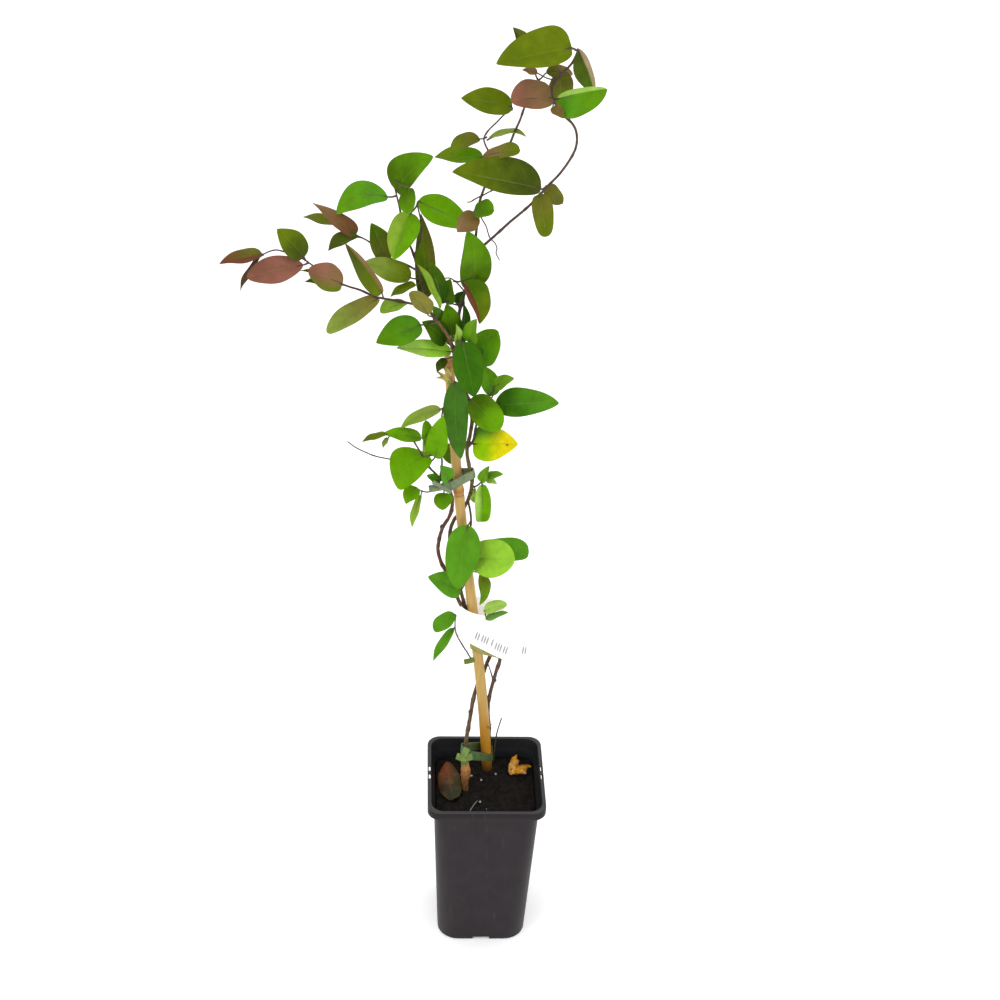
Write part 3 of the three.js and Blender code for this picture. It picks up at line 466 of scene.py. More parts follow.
# %% The head of the cane, and the crown above it
shoot("head", (455, 366), 0, [
    stem([(455, 366, 29), (453, 350, 16), (447, 335, 9), (440, 325, 7), (432, 315, 7), (427, 303, 8),
          (424, 292, 11)], 3.0, 2.4, "tan", "wine"),
    stem([(455, 366, 29), (456, 352, 26), (460, 342, 25), (461, 330, 25), (459, 315, 25), (461, 305, 26),
          (466, 288, 28), (469, 273, 29)], 3.2, 2.4),
    stem([(465, 292, 27), (456, 282, 23), (449, 278, 19), (441, 279, 16)], 1.3, 0.9),
    stem([(461.5, 306, 26), (453, 304, 21), (446, 301, 17)], 1.5, 1.2),
], [
    leaf((472, 288, 25), (467, 231, 15), 28, 15, ("moss", "green"), swerve=4),
    leaf((463, 281, 16), (480, 324, 6), 26, 35, ("moss", "olive"), "red_brown", 0.9, swerve=-3, fold=28,
         right=0.8, left=1.1),
    leaf((446, 303, 22), (450, 279, 18), 17, 20, "moss"),
    leaf((442, 303, 13), (429, 261, 7), 16, 30, ("deep", "moss")),
    leaf((440, 308, 4), (417, 264, -7), 10, 52, "lime"),
    # A narrow leaf seen edge-on in the shade: its deep tone is painted shade.
    leaf((463, 342, 27), (463.5, 303, 23), 11, 40, "deep"),
    # A leaf behind the others: its deep foot is painted shade.
    leaf((446, 341, 16), (422, 322, 7), 20, 25, ("deep", "moss")),
    leaf((452, 335, 23), (446, 304, 24), 19, 20, ("moss", "green")),
    leaf((456, 347, 17), (456, 324, 9), 9, 45, ("lime", "pale_lime")),
    leaf((470, 343, 17), (476, 319, 9), 16, 30, ("green", "leafy")),
    leaf((469, 347, 27), (498, 331, 21), 30, 5, ("grass", "green"), bow=-2, right=1.5, left=0.45, base=0.4,
         point=0.5),
    leaf((468, 349, 21), (483, 376, 13), 20, 20, ("fern_deep", "grass")),
    leaf((462, 342, 11), (474, 397, -4), 27, 12, "fern_deep"),
    leaf((421, 325, 9), (376, 343, -7), 25, 18, ("grass", "green")),
    leaf((451, 352, 13), (396, 348, -4), 17, 30, ("fresh", "pale_lime")),
    leaf((428, 315, -3), (411, 291, -17), 17, 150, "pink_olive", under="pink_olive"),
    leaf((446, 359, 19), (437, 372, 12), 9, 20, "dark_olive"),
    leaf((452, 342, 34), (446, 313, 56), 23, 150, "grass"),
    leaf((469, 343, 36), (478, 358, 60), 22, 165, "fern_deep"),
    leaf((444, 336, 25), (433, 306, 23), 17, 25, ("moss", "grass")),
    # A dark leaf that fills the shade in the head's middle, as painted shade.
    leaf((458, 305, 30), (465, 291, 28), 12, 20, "deep"),
])
shoot("crown", (469, 274), -0.13, [
    stem([(469, 274, 29), (474, 250, 28), (477, 225, 26), (478, 211, 25), (479, 204, 24), (485, 186, 22),
          (495, 164, 20), (509, 145, 17), (515, 131, 15), (520, 120, 14), (525, 106, 13), (532, 92, 12),
          (539, 79, 10)], 2.3, 1.6),
    stem([(474, 250, 28), (481, 247, 26), (490, 240, 22), (510, 222, 16), (530, 205, 10), (547, 187, 5),
          (562, 171, 0), (575, 150, -4), (577, 138, -5), (575, 128, -5), (570, 121, -4), (563, 115, -3),
          (556, 105, 0), (552, 95, 3), (553, 86, 5), (560, 76, 5), (572, 63, 2), (579, 49, 0)], 2.2, 1.7),
    stem([(495, 164, 20), (489, 152, 20), (485, 144, 20), (484, 138, 19), (488, 131, 18), (497, 122, 16),
          (505, 114, 14), (513, 109, 13)], 1.5, 1.1),
    stem([(480, 197, 23), (489, 192, 21), (497, 188, 20), (503, 184, 19)], 1.2, 1),
    stem([(481, 196, 23), (475, 199, 21), (470, 202, 20), (466, 202, 19)], 1.2, 1),
    stem([(478, 208, 24), (482, 219, 20), (486, 226, 17), (490, 238, 15), (495, 243, 13), (497, 249, 12),
          (496, 253, 12), (500, 261, 11)], 1.1, 0.9),
], [
    leaf((572, 48, 0), (496, 64, -10), 30, 18, "olive", right=1.25, left=0.75, base=0.38),
    leaf((531, 62, 18), (513, 27, 25), 15, 35, "brown_olive", "dark_olive", -0.7),
    leaf((537, 73, 3), (522, 70, 0), 6, 20, "bronze"),
    leaf((546, 73, 12), (573, 74, 22), 12, 30, ("brown_olive", "bronze")),
    leaf((553, 98, 2), (511, 101, -11), 24, 22, ("bronze", "pink_brown"), right=1.2, left=0.8, base=0.45,
         point=0.5),
    leaf((559, 70, 10), (561, 107, 17), 20, 15, ("brown_olive", "olive")),
    leaf((578, 49, 3), (594, 92, 5), 21, 20, ("dark_olive", "moss"), "under_pink", -0.9, fold=20, right=1.1,
         left=0.4),
    leaf((557, 99, 1), (607, 89, -13), 33, 15, ("grass", "green"), "pale_lime", -0.9, under="pale_lime",
         right=1.15, left=0.25, point=0.6),
    leaf((553, 107, -9), (564, 118, -19), 9, 10, "umber"),
    leaf((512, 107, 13), (461, 98, 8), 21, 20, "olive"),
    leaf((487, 140, 19), (526, 136, 6), 9, 60, "yellow_olive", swerve=-5),
    leaf((480, 139, 20), (449, 153, 15), 14, 35, ("brown_olive", "olive"), swerve=3),
    leaf((483, 158, 21), (434, 157, 29), 17, 40, ("green", "olive")),
    leaf((482, 157, 17), (520, 150, 6), 13, 30, ("bronze", "olive"), base=0.8, point=0.4),
    leaf((541, 189, 4), (452, 172, -12), 30, 25, ("dark_olive", "olive"), right=1.25, left=0.75),
    leaf((539, 194, 3), (546, 237, -6), 17, 10, ("brown_olive", "olive"), base=0.3, point=0.45),
    leaf((543, 188, 10), (563, 204, 18), 15, 20, "brown_olive", point=1),
    leaf((474, 211, 22), (494, 210, 12), 16, 25, ("moss", "green"), base=0.6, point=0.4),
    leaf((478, 216, 19), (457, 232, 11), 18, 20, ("umber", "bronze")),
])
print("shoots so far:", len(SHOOTS))

# %% The upper left and the long left arm
shoot("upper_left", (425, 294), 0.26, [
    stem([(425, 294, 13), (419, 274, 14), (414, 256, 16), (408, 240, 18), (402, 222, 18), (400, 210, 17),
          (397, 197, 15), (394, 185, 14), (390, 173, 13)], 2.3, 1.2),
    stem([(414, 256, 16), (418, 246, 14), (421, 238, 13), (421, 222, 13), (418, 208, 14), (417, 203, 15)],
          1.6, 1.2),
    stem([(418, 271, 14), (405, 264, 19), (392, 259, 21), (380, 251, 21), (368, 241, 20), (358, 236, 19),
          (347, 231, 18)], 1.9, 1.2),
], [
    leaf((397, 192, 14), (433, 156, 4), 27, 15, ("moss", "green"), swerve=-3, right=0.65, left=1.25,
         base=0.4, point=0.7),
    leaf((409, 188, 5), (408, 213, -2), 14, 15, ("moss", "green"), base=0.4, point=0.35),
    leaf((388, 197, 15), (336, 213, 11), 24, 30, ("grass", "green"), swerve=7, point=0.6),
    leaf((418, 201, 15), (470, 226, 29), 24, 12, "bright"),
    leaf((411, 213, 12), (394, 260, -1), 25, 12, "bright", "lime", 0.5),
    leaf((425, 298, 19), (421, 213, 18), 19, 20, ("moss", "olive"), "brown_olive", 0.3, base=0.45,
         point=0.9),
    leaf((356, 235, 18), (311, 202, 8), 15, 25, ("purple", "bronze"), base=0.35, point=1.1),
    leaf((345, 226, 18), (302, 217, 26), 12, 45, ("olive", "brown_olive")),
    leaf((358, 237, 15), (328, 251, 7), 15, 30, "dark_olive", right=1.3, left=0.3),
    leaf((386, 261, 19), (371, 223, 11), 20, 20, ("brown_olive", "moss")),
    leaf((416, 285, 10), (390, 297, 5), 11, 45, "olive"),
    leaf((411, 278, 10), (363, 262, 6), 20, 20, ("olive", "yellow_olive")),
])
shoot("left_arm", (428, 305), -0.2, [
    stem([(428, 305, 13), (419, 305, 8), (408, 303, 4), (400, 301, 1), (386, 299, -2), (376, 297, -4),
          (360, 290, -8), (350, 287, -10), (342, 284, -12), (330, 278, -14), (320, 270, -15),
          (312, 265, -16), (305, 260, -17), (295, 255, -18), (285, 252, -19), (276, 250, -19),
          (268, 252, -20), (262, 255, -20)], 2.2, 1.1),
], [
    leaf((382, 293, -3), (345, 243, -12), 16, 20, ("olive", "dark_olive"), "bronze", 0.5, right=0.55,
         left=1.3),
    leaf((379, 298, -4), (327, 333, -14), 19, 30, ("pink_olive", "yellow_olive"), point=0.5),
    leaf((342, 284, -12), (308, 271, -22), 22, 15, ("bronze", "pink_brown"), "olive", -0.2, point=0.5),
    leaf((342, 285, -11), (304, 282, -3), 12, 50, "dark_olive"),
    leaf((330, 278, -9), (299, 270.5, -4), 6, 40, "dark_olive", point=1.2),
    leaf((304, 257, -16), (277, 229, -9), 21, 15, ("dark_olive", "olive")),
    leaf((303, 265, -18), (247, 278, -30), 22, 20, "pink_brown", base=0.7, point=0.6),
    leaf((262, 254, -20), (219, 264, -26), 13, 35, ("brown_olive", "red_brown"), "red_brown", -0.6),
    leaf((260, 257, -20), (240, 291, -14), 6, 40, "dark_purple"),
    leaf((406, 303, 3), (381, 313, -6), 15, 42, "lime", point=0.45),
])
print("shoots so far:", len(SHOOTS))

# %% The right and the left of the middle
shoot("right", (468, 446), 0.14, [
    stem([(467, 448, 17), (473, 441, 12), (476, 426, 10), (482, 410, 11), (489, 397, 16), (495, 388, 18)],
          2.4, 1.4),
    stem([(479, 418, 10.5), (470, 404, 9), (464, 393, 8), (458, 386, 8)], 1.8, 1.4),
], [
    leaf((455, 381, 7), (461, 459, -2), 22, 10, "fern", swerve=2.5),
    # Its dark moss foot paints the shade that lies over its upper left.
    leaf((470, 399, 9), (500, 430, -2), 28, 20, ("moss", "bright"), base=0.45, point=0.55),
    leaf((494, 387, 18), (514, 378, 11), 13, 25, "leafy"),
    leaf((493, 396, 21), (484, 366, 28), 17, 20, ("grass", "green")),
    leaf((495, 406, 17), (559, 403, 4), 28, 25, ("fern_deep", "grass")),
    leaf((473, 444, 11), (518, 444, -2), 32, 8, ("yellow_green", "yellow"), "fern", -0.24, base=0.35,
         yellowing=1),
    leaf((481, 427, 22), (493, 409, 46), 24, 160, "grass"),
])
shoot("left", (440, 478), -0.22, [
    stem([(445, 483, 17.5), (440, 478, 15.5), (436, 474, 14), (428, 466, 11), (422, 455, 8), (416, 445, 5),
          (411, 438, 3), (400, 435, 1), (386, 435, -3)], 2, 1.1),
    stem([(440, 478, 15.5), (442, 462, 14), (440, 445, 13), (440, 430, 13), (442, 415, 14), (443, 407, 15)],
          1.8, 1.3),
    stem([(441, 479, 15.8), (436, 488, 12), (428, 492, 9), (418, 490, 7)], 1.6, 1.1),
    stem([(431, 468, 14), (410, 464, 16), (394, 460, 12), (375, 456, 3), (365, 452, -1), (355, 447, -2),
          (347, 441, -2)], 1.3, 1),
], [
    leaf((441, 409, 15), (400, 429, 4), 13, 30, ("yellow_olive", "lime"), swerve=1.5),
    leaf((435, 457, 9), (443, 416, 1), 20, 12, "bright"),
    leaf((428, 447, 13), (425, 421, 12), 11, 20, "bright", point=0.4),
    leaf((421, 438, 5), (382, 434, -3), 14, 30, ("green", "bright")),
    leaf((386, 434, -5), (362, 442, -10), 7, 30, "olive"),
    leaf((388, 438, -2), (383, 448, -8), 5, 20, "yellow_olive"),
    leaf((429, 456, 8), (398, 489, -7), 32, 12, "bright", swerve=8, point=0.6),
    leaf((416, 487, 6), (406, 504, -2), 15, 20, "bright"),
    leaf((421, 495, 7), (412, 528, 2), 8, 30, "lime"),
    leaf((449, 480, 13), (440, 466, 4), 15, 20, "grass"),
    leaf((439, 482, 12), (427, 476, 3), 10, 20, "grass", point=0.6),
    leaf((444, 493, 11), (443, 510, 3), 17, 10, "green", point=0.6),
    leaf((441, 446, 39), (459, 462, 47), 16, 10, "green"),
    leaf((429, 455, 27), (424, 438, 58), 22, 150, "green"),
])
print("shoots so far:", len(SHOOTS))

# %% The low right and the front
shoot("right_low", (471, 488), 0.3, [
    stem([(471, 488, 26), (478, 485, 22), (484, 479, 20), (488, 473, 18)], 1.6, 1.1),
], [
    leaf((481, 482, 17), (489, 466, 10), 9, 15, "leafy"),
    leaf((487, 477, 19), (503, 474, 11), 8, 20, "leafy"),
    leaf((486, 480, 22), (497, 484, 15), 6, 20, "pale_lime"),
    leaf((482, 484, 20), (482, 522, 9), 15, 12, "bright", "pale_lime", 0.3, base=0.35, point=0.25),
    leaf((475, 488, 28), (474, 503, 25), 6, 20, "pale_lime"),
])
shoot("front", (468, 501), -0.05, [
    stem([(468, 501, 33), (470.5, 513, 26), (471, 524, 19), (469, 534, 14), (467, 548, 13), (468, 562, 14),
          (469, 576, 15)], 2, 1.5),
], [
    leaf((468, 525, 14), (457, 590, 0), 32, 10, "grass"),
    leaf((472, 559, 14), (515, 559, 0), 36, 10, "fresh", point=0.5),
    leaf((475, 550, 21), (529, 552, 22), 23, 20, "grass", point=0.35),
    leaf((480.5, 573, 20), (480, 605, 12), 12.5, 30, ("olive", "leafy"), swerve=-3),
    leaf((461, 590, 14), (428, 577, 5), 23, 15, "grass"),
    leaf((480, 556, 33), (492, 571, 56), 24, 165, "grass"),
])
print("shoots so far:", len(SHOOTS))

# %% The two lowest shoots
shoot("low_left", (486, 663), 0, [
    stem([(478, 661, 36), (471, 658, 31), (467, 652, 26), (463, 646, 22), (456, 633, 19), (455, 624, 18),
          (456, 615, 18)], 1.5, 1.1),
], [
    leaf((455, 614, 18), (434, 631, 10), 16, 20, "grass", point=0.5),
    leaf((454, 628, 18), (433, 661, 9), 10, 25, "grass"),
])
shoot("low_right", (488, 637), 0, [
    stem([(488, 637, 36), (487, 628, 31), (486, 619, 24), (485, 611.5, 15)], 1.6, 1.2),
], [
    leaf((484, 611, 12), (507, 604, 4), 12, 25, "pale_lime", point=0.5),
    leaf((486, 617.5, 9), (508, 612, 1), 11, 35, "pale_leaf", right=1.3, left=0.4),
])
print(len(SHOOTS), "shoots")

# %% Put a shoot in space


def grown(plan):
    """The shoot's stems as points in mm, and its leaves with foot and tip in mm."""
    def place(spot):
        reach = np.hypot(spot[0] - plan["start"][0], spot[1] - plan["start"][1])
        return seen(spot[0], spot[1], spot[2] + plan["away"] * reach)

    stems = [{**s, "points": [place(spot) for spot in s["path"]]} for s in plan["stems"]]
    leaves = [{**blade, "foot": place(blade["foot"]), "tip": place(blade["tip"])} for blade in plan["leaves"]]
    return stems, leaves


def leaf_frame(blade):
    """The directions of a leaf: along its rib, out of its upper face, and across it."""
    along = blade["tip"] - blade["foot"]
    length = np.linalg.norm(along)
    along = along / length
    facing = unit(EYE - (blade["foot"] + blade["tip"]) / 2)
    facing = unit(facing - along * (facing @ along))
    skyward = np.cross(along, facing)
    skyward = skyward if skyward[2] >= 0 else -skyward
    turn = np.radians(blade["turn"])
    face = facing * np.cos(turn) + skyward * np.sin(turn)
    return along, length, face, np.cross(along, face)


def stalk_root(blade, stems):
    """Where a stalk leaves the stems: near the foot, on the side that the blade points away from."""
    along = leaf_frame(blade)[0]
    best, best_cost = None, np.inf
    for s in stems:
        spine = even_line(s["points"], STALK_SEARCH_STEP)
        for a, b in zip(spine, spine[1:]):
            for share in STALK_SEARCH_SHARES:
                reach = blade["foot"] - (a + (b - a) * share)
                length = np.linalg.norm(reach)
                cost = (length + STALK_SHORTEST) * (STALK_TURN_COST - reach @ along / length)
                if cost < best_cost:
                    best, best_cost = blade["foot"] - reach, cost
    return best


STALK_SEARCH_STEP, STALK_SEARCH_SHARES = 15, (0.1, 0.3, 0.5, 0.7, 0.9)
STALK_SHORTEST, STALK_TURN_COST = 2, 1.7
SPRAYS = {name: grown(plan) for name, plan in SHOOTS.items()}
print("stems:", sum(len(s) for s, _ in SPRAYS.values()), "leaves:", sum(len(b) for _, b in SPRAYS.values()))

# %% [markdown]
# # A leaf's two faces
# A honeysuckle leaf is smooth and a little glossy above, with sunk pale veins, and paler and duller
# below, with raised ones. Young leaves are bronze or purple, and the colour runs from foot to tip. So
# each leaf carries its own tones and its own place marks, which run from foot to tip and from edge to
# edge, and both finishes are formulas in those marks. A picture would have to be painted for a hundred
# leaves, while the formula serves them all.

# %% Finishes of a leaf's upper face and underside
VEIN_PAIRS, VEIN_SLANT = 6.5, 0.27
VEIN_WIDTH, RIB_WIDTH = 0.09, 0.085
SPOT_ALONG, SPOT_ACROSS = 0.77, 0.12


def leaf_marks(tree):
    """How far along and across a leaf is, and how much of a vein or rib is there."""
    along, across, _ = tree.split(own(tree, "leaf_place", "Vector"))
    away = tree.absolute(across)
    between = tree.function("FRACT", (along - away * VEIN_SLANT) * VEIN_PAIRS)
    vein = tree.bump_at(between, 0.5, VEIN_WIDTH) * (1.0 - tree.smooth(away, 0.7, 0.98))
    rib = tree.bump_at(across, 0.0, RIB_WIDTH)
    return along, across, away, vein, rib


def leaf_paint(under):
    def paint(tree):
        along, across, away, vein, rib = leaf_marks(tree)
        where = place_of(tree)
        drift = tree.noise(where, 90.0, 4.0)
        speckle = tree.noise(where, 900.0, 2.0)
        yellowing = own(tree, "yellowing")
        run = tree.smooth(along + (drift - 0.5) * 0.35, 0.12 + yellowing * 0.04, 0.95 - yellowing * 0.18)
        colour = tree.blend(run, own(tree, "tone_foot", "Color"), own(tree, "tone_tip", "Color"))
        half = tree.smooth(across * own(tree, "side_share") + (drift - 0.5) * 0.12, -0.02, 0.22)
        half = half * (1.0 - yellowing * tree.smooth(along, 0.35, 0.75))
        colour = tree.blend(half, colour, own(tree, "tone_side", "Color"))
        if under:
            colour = tree.blend(0.8, colour, own(tree, "tone_under", "Color"))
        edge = tree.smooth(away + (speckle - 0.5) * 0.1, 0.9, 1.0)
        colour = tree.blend(edge * 0.2, colour, TONES["purple"])
        light = tree.blend(0.45, colour, TONES["lime"])
        colour = tree.blend(vein * (0.35 if under else 0.16), colour, light)
        colour = tree.blend(rib * (0.7 if under else 0.35), colour, light)
        spot = tree.bump_at(along, SPOT_ALONG, 0.05) * tree.bump_at(across, SPOT_ACROSS, 0.14)
        colour = tree.wash(colour, spot + (speckle - 0.5) * 0.5, 0.2, 0.5, yellowing, TONES["umber"])
        shade = tree.blend(tree.smooth(drift, 0.25, 0.75), tint(226, 226, 226), tint(255, 255, 255))
        colour = tree.blend(1.0, colour, shade, "MULTIPLY")
        cells = {"Vector": where, "Scale": 800.0}
        grain = tree.node("ShaderNodeTexVoronoi", {"feature": "DISTANCE_TO_EDGE"}, cells)
        way = -1.0 if under else 1.0
        height = tree.smooth(grain, 0.0, 0.12) * 0.3 - (vein + rib * 1.4) * way
        rough = (0.62 if under else 0.4) + (speckle - 0.5) * 0.2 + vein * 0.08
        return surface(tree, colour, rough, height, 0.00025, 0.5)
    return paint


LEAF_UPPER = finish("leaf_upper", leaf_paint(False), IOR=1.42, Specular_IOR_Level=0.06)
LEAF_UNDER = finish("leaf_under", leaf_paint(True), IOR=1.38, Specular_IOR_Level=0.04)
print("leaf finishes:", LEAF_UPPER.name, LEAF_UNDER.name)

# %% [markdown]
# # The leaf machine
# All leaves of a shoot are one point cloud: a point for each leaf, with its length, width, bow and the
# rest as attributes. The machine lays a flat grid on each point, makes the grids real, and moves each of
# their points by one formula: out to the outline, up along the folded halves, round the bow and over the
# quilted veins. Then it makes a second copy for the underside, a little lower, which meets the first at
# the edge, so the leaf is closed.

# %% Build the leaf machine
LEAF_SIZES = {"Rows": 33, "Columns": 15, "Thickness": 0.5, "Quilt": 0.22, "Groove": 0.35,
              "Upper": LEAF_UPPER, "Under": LEAF_UNDER}
ROW_CROWDING, EDGE_CROWDING = 0.08, 0.15
LEAF_NUMBERS = ("length", "width", "fullness", "bow", "swerve", "fold", "twist", "wave", "waves", "base",
                "point", "right", "left", "curl", "yellowing", "seed", "side_share")


def leaf_mid_surface(m, place):
    """The formula of a leaf: its place marks, and where they lie in space in mm."""
    x, y, _ = m.split(place)
    along = x - m.sine(x * (2 * np.pi)) * ROW_CROWDING
    flat = 1.0 - y * 2.0
    across = flat * m.absolute(flat) ** EDGE_CROWDING
    away = m.absolute(across)
    number = {name: m.own(name) for name in LEAF_NUMBERS}
    rib_way, side_way, face_way = (m.own(name, "FLOAT_VECTOR") for name in ("along", "side", "face"))
    arch = along * (1.0 - along) * 4.0
    spin = number["twist"] * (along - 0.5)
    side = side_way * m.cosine(spin) - face_way * m.sine(spin)
    face = face_way * m.cosine(spin) + side_way * m.sine(spin)
    right = m.above(across, 0.0)
    uneven = 1.0 + m.sine(along * 6.0 + number["seed"] + right * 2.0) * 0.045
    half = number["width"] * 0.5 * number["fullness"]
    half = half * along ** number["base"] * (1.0 - along) ** number["point"]
    half = half * uneven * (number["left"] + (number["right"] - number["left"]) * right)
    ruffle = number["wave"] * away * away * m.sine(number["waves"] * along * (2 * np.pi) + right * 1.3)
    veins = (along - away * VEIN_SLANT) * VEIN_PAIRS
    quilt = m.cosine(veins * (2 * np.pi)) * m.size("Quilt") * arch
    quilt = quilt * (1.0 - away) * m.smooth(away, 0.05, 0.3)
    groove = m.bump_at(across, 0.0, 0.22) * m.size("Groove") * (1.0 - along)
    sway = m.sine(along * 5.0 + across * 2.0 + number["seed"] * 3.0) * 0.3 * arch
    droop = number["curl"] * m.smooth(along, 0.55, 1.0) * m.smooth(along, 0.3, 1.0)
    lift = away * half * m.sine(number["fold"]) + ruffle + quilt - groove + sway - droop
    centre = m.own("foot", "FLOAT_VECTOR") + rib_way * (number["length"] * along)
    centre = centre + face_way * (number["bow"] * arch) + side_way * (number["swerve"] * arch)
    spot = centre + side * (across * half * m.cosine(number["fold"])) + face * lift
    return m.joined(along, across, 0.0), spot


def leaf_machine():
    m = Machine("leaf_machine", LEAF_SIZES)
    sizes = {"Size X": 1.0, "Size Y": 1.0, "Vertices X": m.size("Rows"), "Vertices Y": m.size("Columns")}
    card = m.node("GeometryNodeMeshGrid", None, sizes)
    card = m.store(card, "card_place", Wire(m, card.socket.node.outputs["UV Map"]), "FLOAT_VECTOR")
    cards = m.node("GeometryNodeInstanceOnPoints", None, {"Points": m.start, "Instance": card})
    sheet = m.node("GeometryNodeRealizeInstances", None, {"Geometry": cards})
    place, spot = leaf_mid_surface(m, m.own("card_place", "FLOAT_VECTOR"))
    sheet = m.moved(m.store(sheet, "leaf_place", place, "FLOAT_VECTOR"), position=spot * MM)
    along, across, _ = m.split(m.own("leaf_place", "FLOAT_VECTOR"))
    ends = m.function("MINIMUM", m.function("MINIMUM", along, 1.0 - along) * 14.0, 1.0)
    thick = m.size("Thickness") * 0.5 * MM * ends * (1.0 - m.absolute(across) ** 6.0)
    normal = m.node("GeometryNodeInputNormal")
    upper = m.dressed(m.moved(sheet, offset=normal * thick), m.size("Upper"))
    under = m.node("GeometryNodeFlipFaces", None, {"Mesh": m.moved(sheet, offset=normal * -thick)})
    both = m.node("GeometryNodeJoinGeometry", None, {"Geometry": [m.dressed(under, m.size("Under")), upper]})
    welded = m.node("GeometryNodeMergeByDistance", None, {"Geometry": both, "Distance": 0.002 * MM})
    m.close(m.smoothed(welded, sharp_from=75))
    return m


LEAVES = leaf_machine()
print("leaf machine has", len(LEAVES.data.nodes), "boxes")

# %% Points that carry a shoot's leaves


def leaf_points(leaves):
    """One point for each leaf, with all that the machine reads."""
    mesh = bpy.data.meshes.new("leaf_points")
    mesh.from_pydata([tuple(blade["foot"] * MM) for blade in leaves], [], [])
    rows = []
    for number, blade in enumerate(leaves):
        along, length, face, side = leaf_frame(blade)
        base, point = blade["base"], blade["point"]
        widest = base / (base + point)
        fullness = 1 / (widest**base * (1 - widest) ** point)
        foot_tone, tip_tone = (TONES[tone] for tone in blade["tones"])
        rows.append({**blade, "along": along, "length": length, "face": face, "side": side,
                     "fullness": fullness, "seed": number * SEED_STEP,
                     "fold": np.radians(blade["fold"]), "twist": np.radians(blade["twist"]),
                     "tone_foot": foot_tone, "tone_tip": tip_tone,
                     "tone_side": TONES[blade["side"]], "tone_under": TONES[blade["under"]]})
    for name in (*LEAF_NUMBERS, *LEAF_WAYS, *LEAF_TONES):
        carry(mesh, name, [row[name] for row in rows])
    return mesh


SEED_STEP = 1.7
LEAF_WAYS = ("foot", "along", "face", "side")
LEAF_TONES = ("tone_foot", "tone_tip", "tone_side", "tone_under")
for name, (_, leaves) in SPRAYS.items():
    stands_for(LEAVES.run(f"leaves_{name}", leaf_points(leaves)), "foliage", f"shoot_{name}")

# %% [markdown]
# # Stems, twigs and stalks
# A stem is a round wire that thins towards its end, with low knobs and a bark that runs along it. Drawn
# as a chain of edges with a radius at each point, it needs no faces of its own: the machine turns each
# chain into a curve and sweeps a circle along it. Each leaf's stalk is such a chain too, and runs on
# under the blade as its midrib, which is what makes a leaf look grown and not stuck on.

# %% The finish of bark


def bark_paint(tree):
    where = place_of(tree)
    fibre = tree.noise(tree.joined(own(tree, "run") * 90.0, own(tree, "turn") * 5.0, 0.0), 2.2, 5.0, 0.6)
    patch = tree.noise(where, 160.0, 3.0)
    colour = own(tree, "tone", "Color")
    dark = tree.blend(1.0, colour, tint(185, 178, 172), "MULTIPLY")
    pale = tree.blend(0.3, colour, tint(168, 150, 118))
    colour = tree.blend(tree.smooth(fibre, 0.35, 0.6), dark, colour)
    colour = tree.wash(colour, fibre * 0.6 + patch * 0.4, 0.56, 0.7, 0.7, pale)
    rough = 0.5 + (fibre - 0.5) * 0.4
    return surface(tree, colour, rough, fibre + patch * 0.5, 0.0003, 0.7)


BARK = finish("bark", bark_paint, IOR=1.4, Specular_IOR_Level=0.15)
print("finish:", BARK.name)

# %% The twig machine


def twig_machine():
    m = Machine("twig_machine", {"Sides": 9, "Knobs": 0.16, "Knob size": 4.0, "Bark": BARK})
    chains = m.node("GeometryNodeMeshToCurve", None, {"Mesh": m.start})
    length = m.node("GeometryNodeSplineParameter", None, None, "Length")
    chains = m.store(chains, "run", length)
    circle = m.node("GeometryNodeCurvePrimitiveCircle", None, {"Resolution": m.size("Sides"), "Radius": 1.0})
    circle = m.store(circle, "turn", m.node("GeometryNodeSplineParameter", None, None, "Factor"))
    values = {"Curve": chains, "Profile Curve": circle, "Scale": m.own("thick"), "Fill Caps": True}
    tube = m.node("GeometryNodeCurveToMesh", None, values)
    lump = m.noise(m.node("GeometryNodeInputPosition"), 1 / MM / m.size("Knob size"), 2.0)
    push = (lump - 0.5) * m.size("Knobs") * m.own("thick") * 2.0
    tube = m.moved(tube, offset=m.node("GeometryNodeInputNormal") * push)
    m.close(m.dressed(m.smoothed(tube, sharp_from=60), m.size("Bark")))
    return m


TWIGS = twig_machine()
print("twig machine has", len(TWIGS.data.nodes), "boxes")

# %% Chains of points, and a mesh of them


def chain_mesh(chains):
    """Chains of points in mm as one mesh of edges. Each has a radius at every point and two end tones."""
    mesh = bpy.data.meshes.new("chains")
    points, edges, radii, tones = [], [], [], []
    for line, thick, pair in chains:
        first, last = (np.array(TONES[t]) for t in pair)
        edges += [(len(points) + i, len(points) + i + 1) for i in range(len(line) - 1)]
        points += [tuple(p * MM) for p in line]
        radii += [r * MM for r in thick]
        tones += [first + (last - first) * s for s in np.linspace(0, 1, len(line))]
    mesh.from_pydata(points, edges, [])
    carry(mesh, "thick", radii)
    carry(mesh, "tone", tones)
    return mesh


def rod(points, step, start, end, tone):
    """A plain chain that thins evenly."""
    line = even_line(points, step)
    return line, np.linspace(start, end, len(line)), (tone, tone)


def lump_chain(middle, way, form, radius, tone):
    """A short thick chain. form says where each of its points lies and how wide it is there."""
    line = np.array([middle + np.multiply(way, radius * place) for place, _ in form])
    return line, radius * np.array([wide for _, wide in form]), (tone, tone)


print("a test chain has", len(chain_mesh([rod([(0, 0, 0), (0, 0, 9)], 1.5, 1, 1, "wine")]).edges), "edges")

# %% Chains of a shoot: its stems, stalks and midribs


def stem_chain(s):
    line = even_line(s["points"], 1.6)
    share = np.linspace(0, 1, len(line))
    knots = 1 + 0.22 * np.maximum(0, np.cos(share * np.pi * 2 * max(2, len(line) // 18))) ** 12
    radius = (s["thick"] + (s["thin"] - s["thick"]) * share) / 2 * knots
    radius[-2:] *= (0.8, 0.35)
    return line, radius, s["tones"]


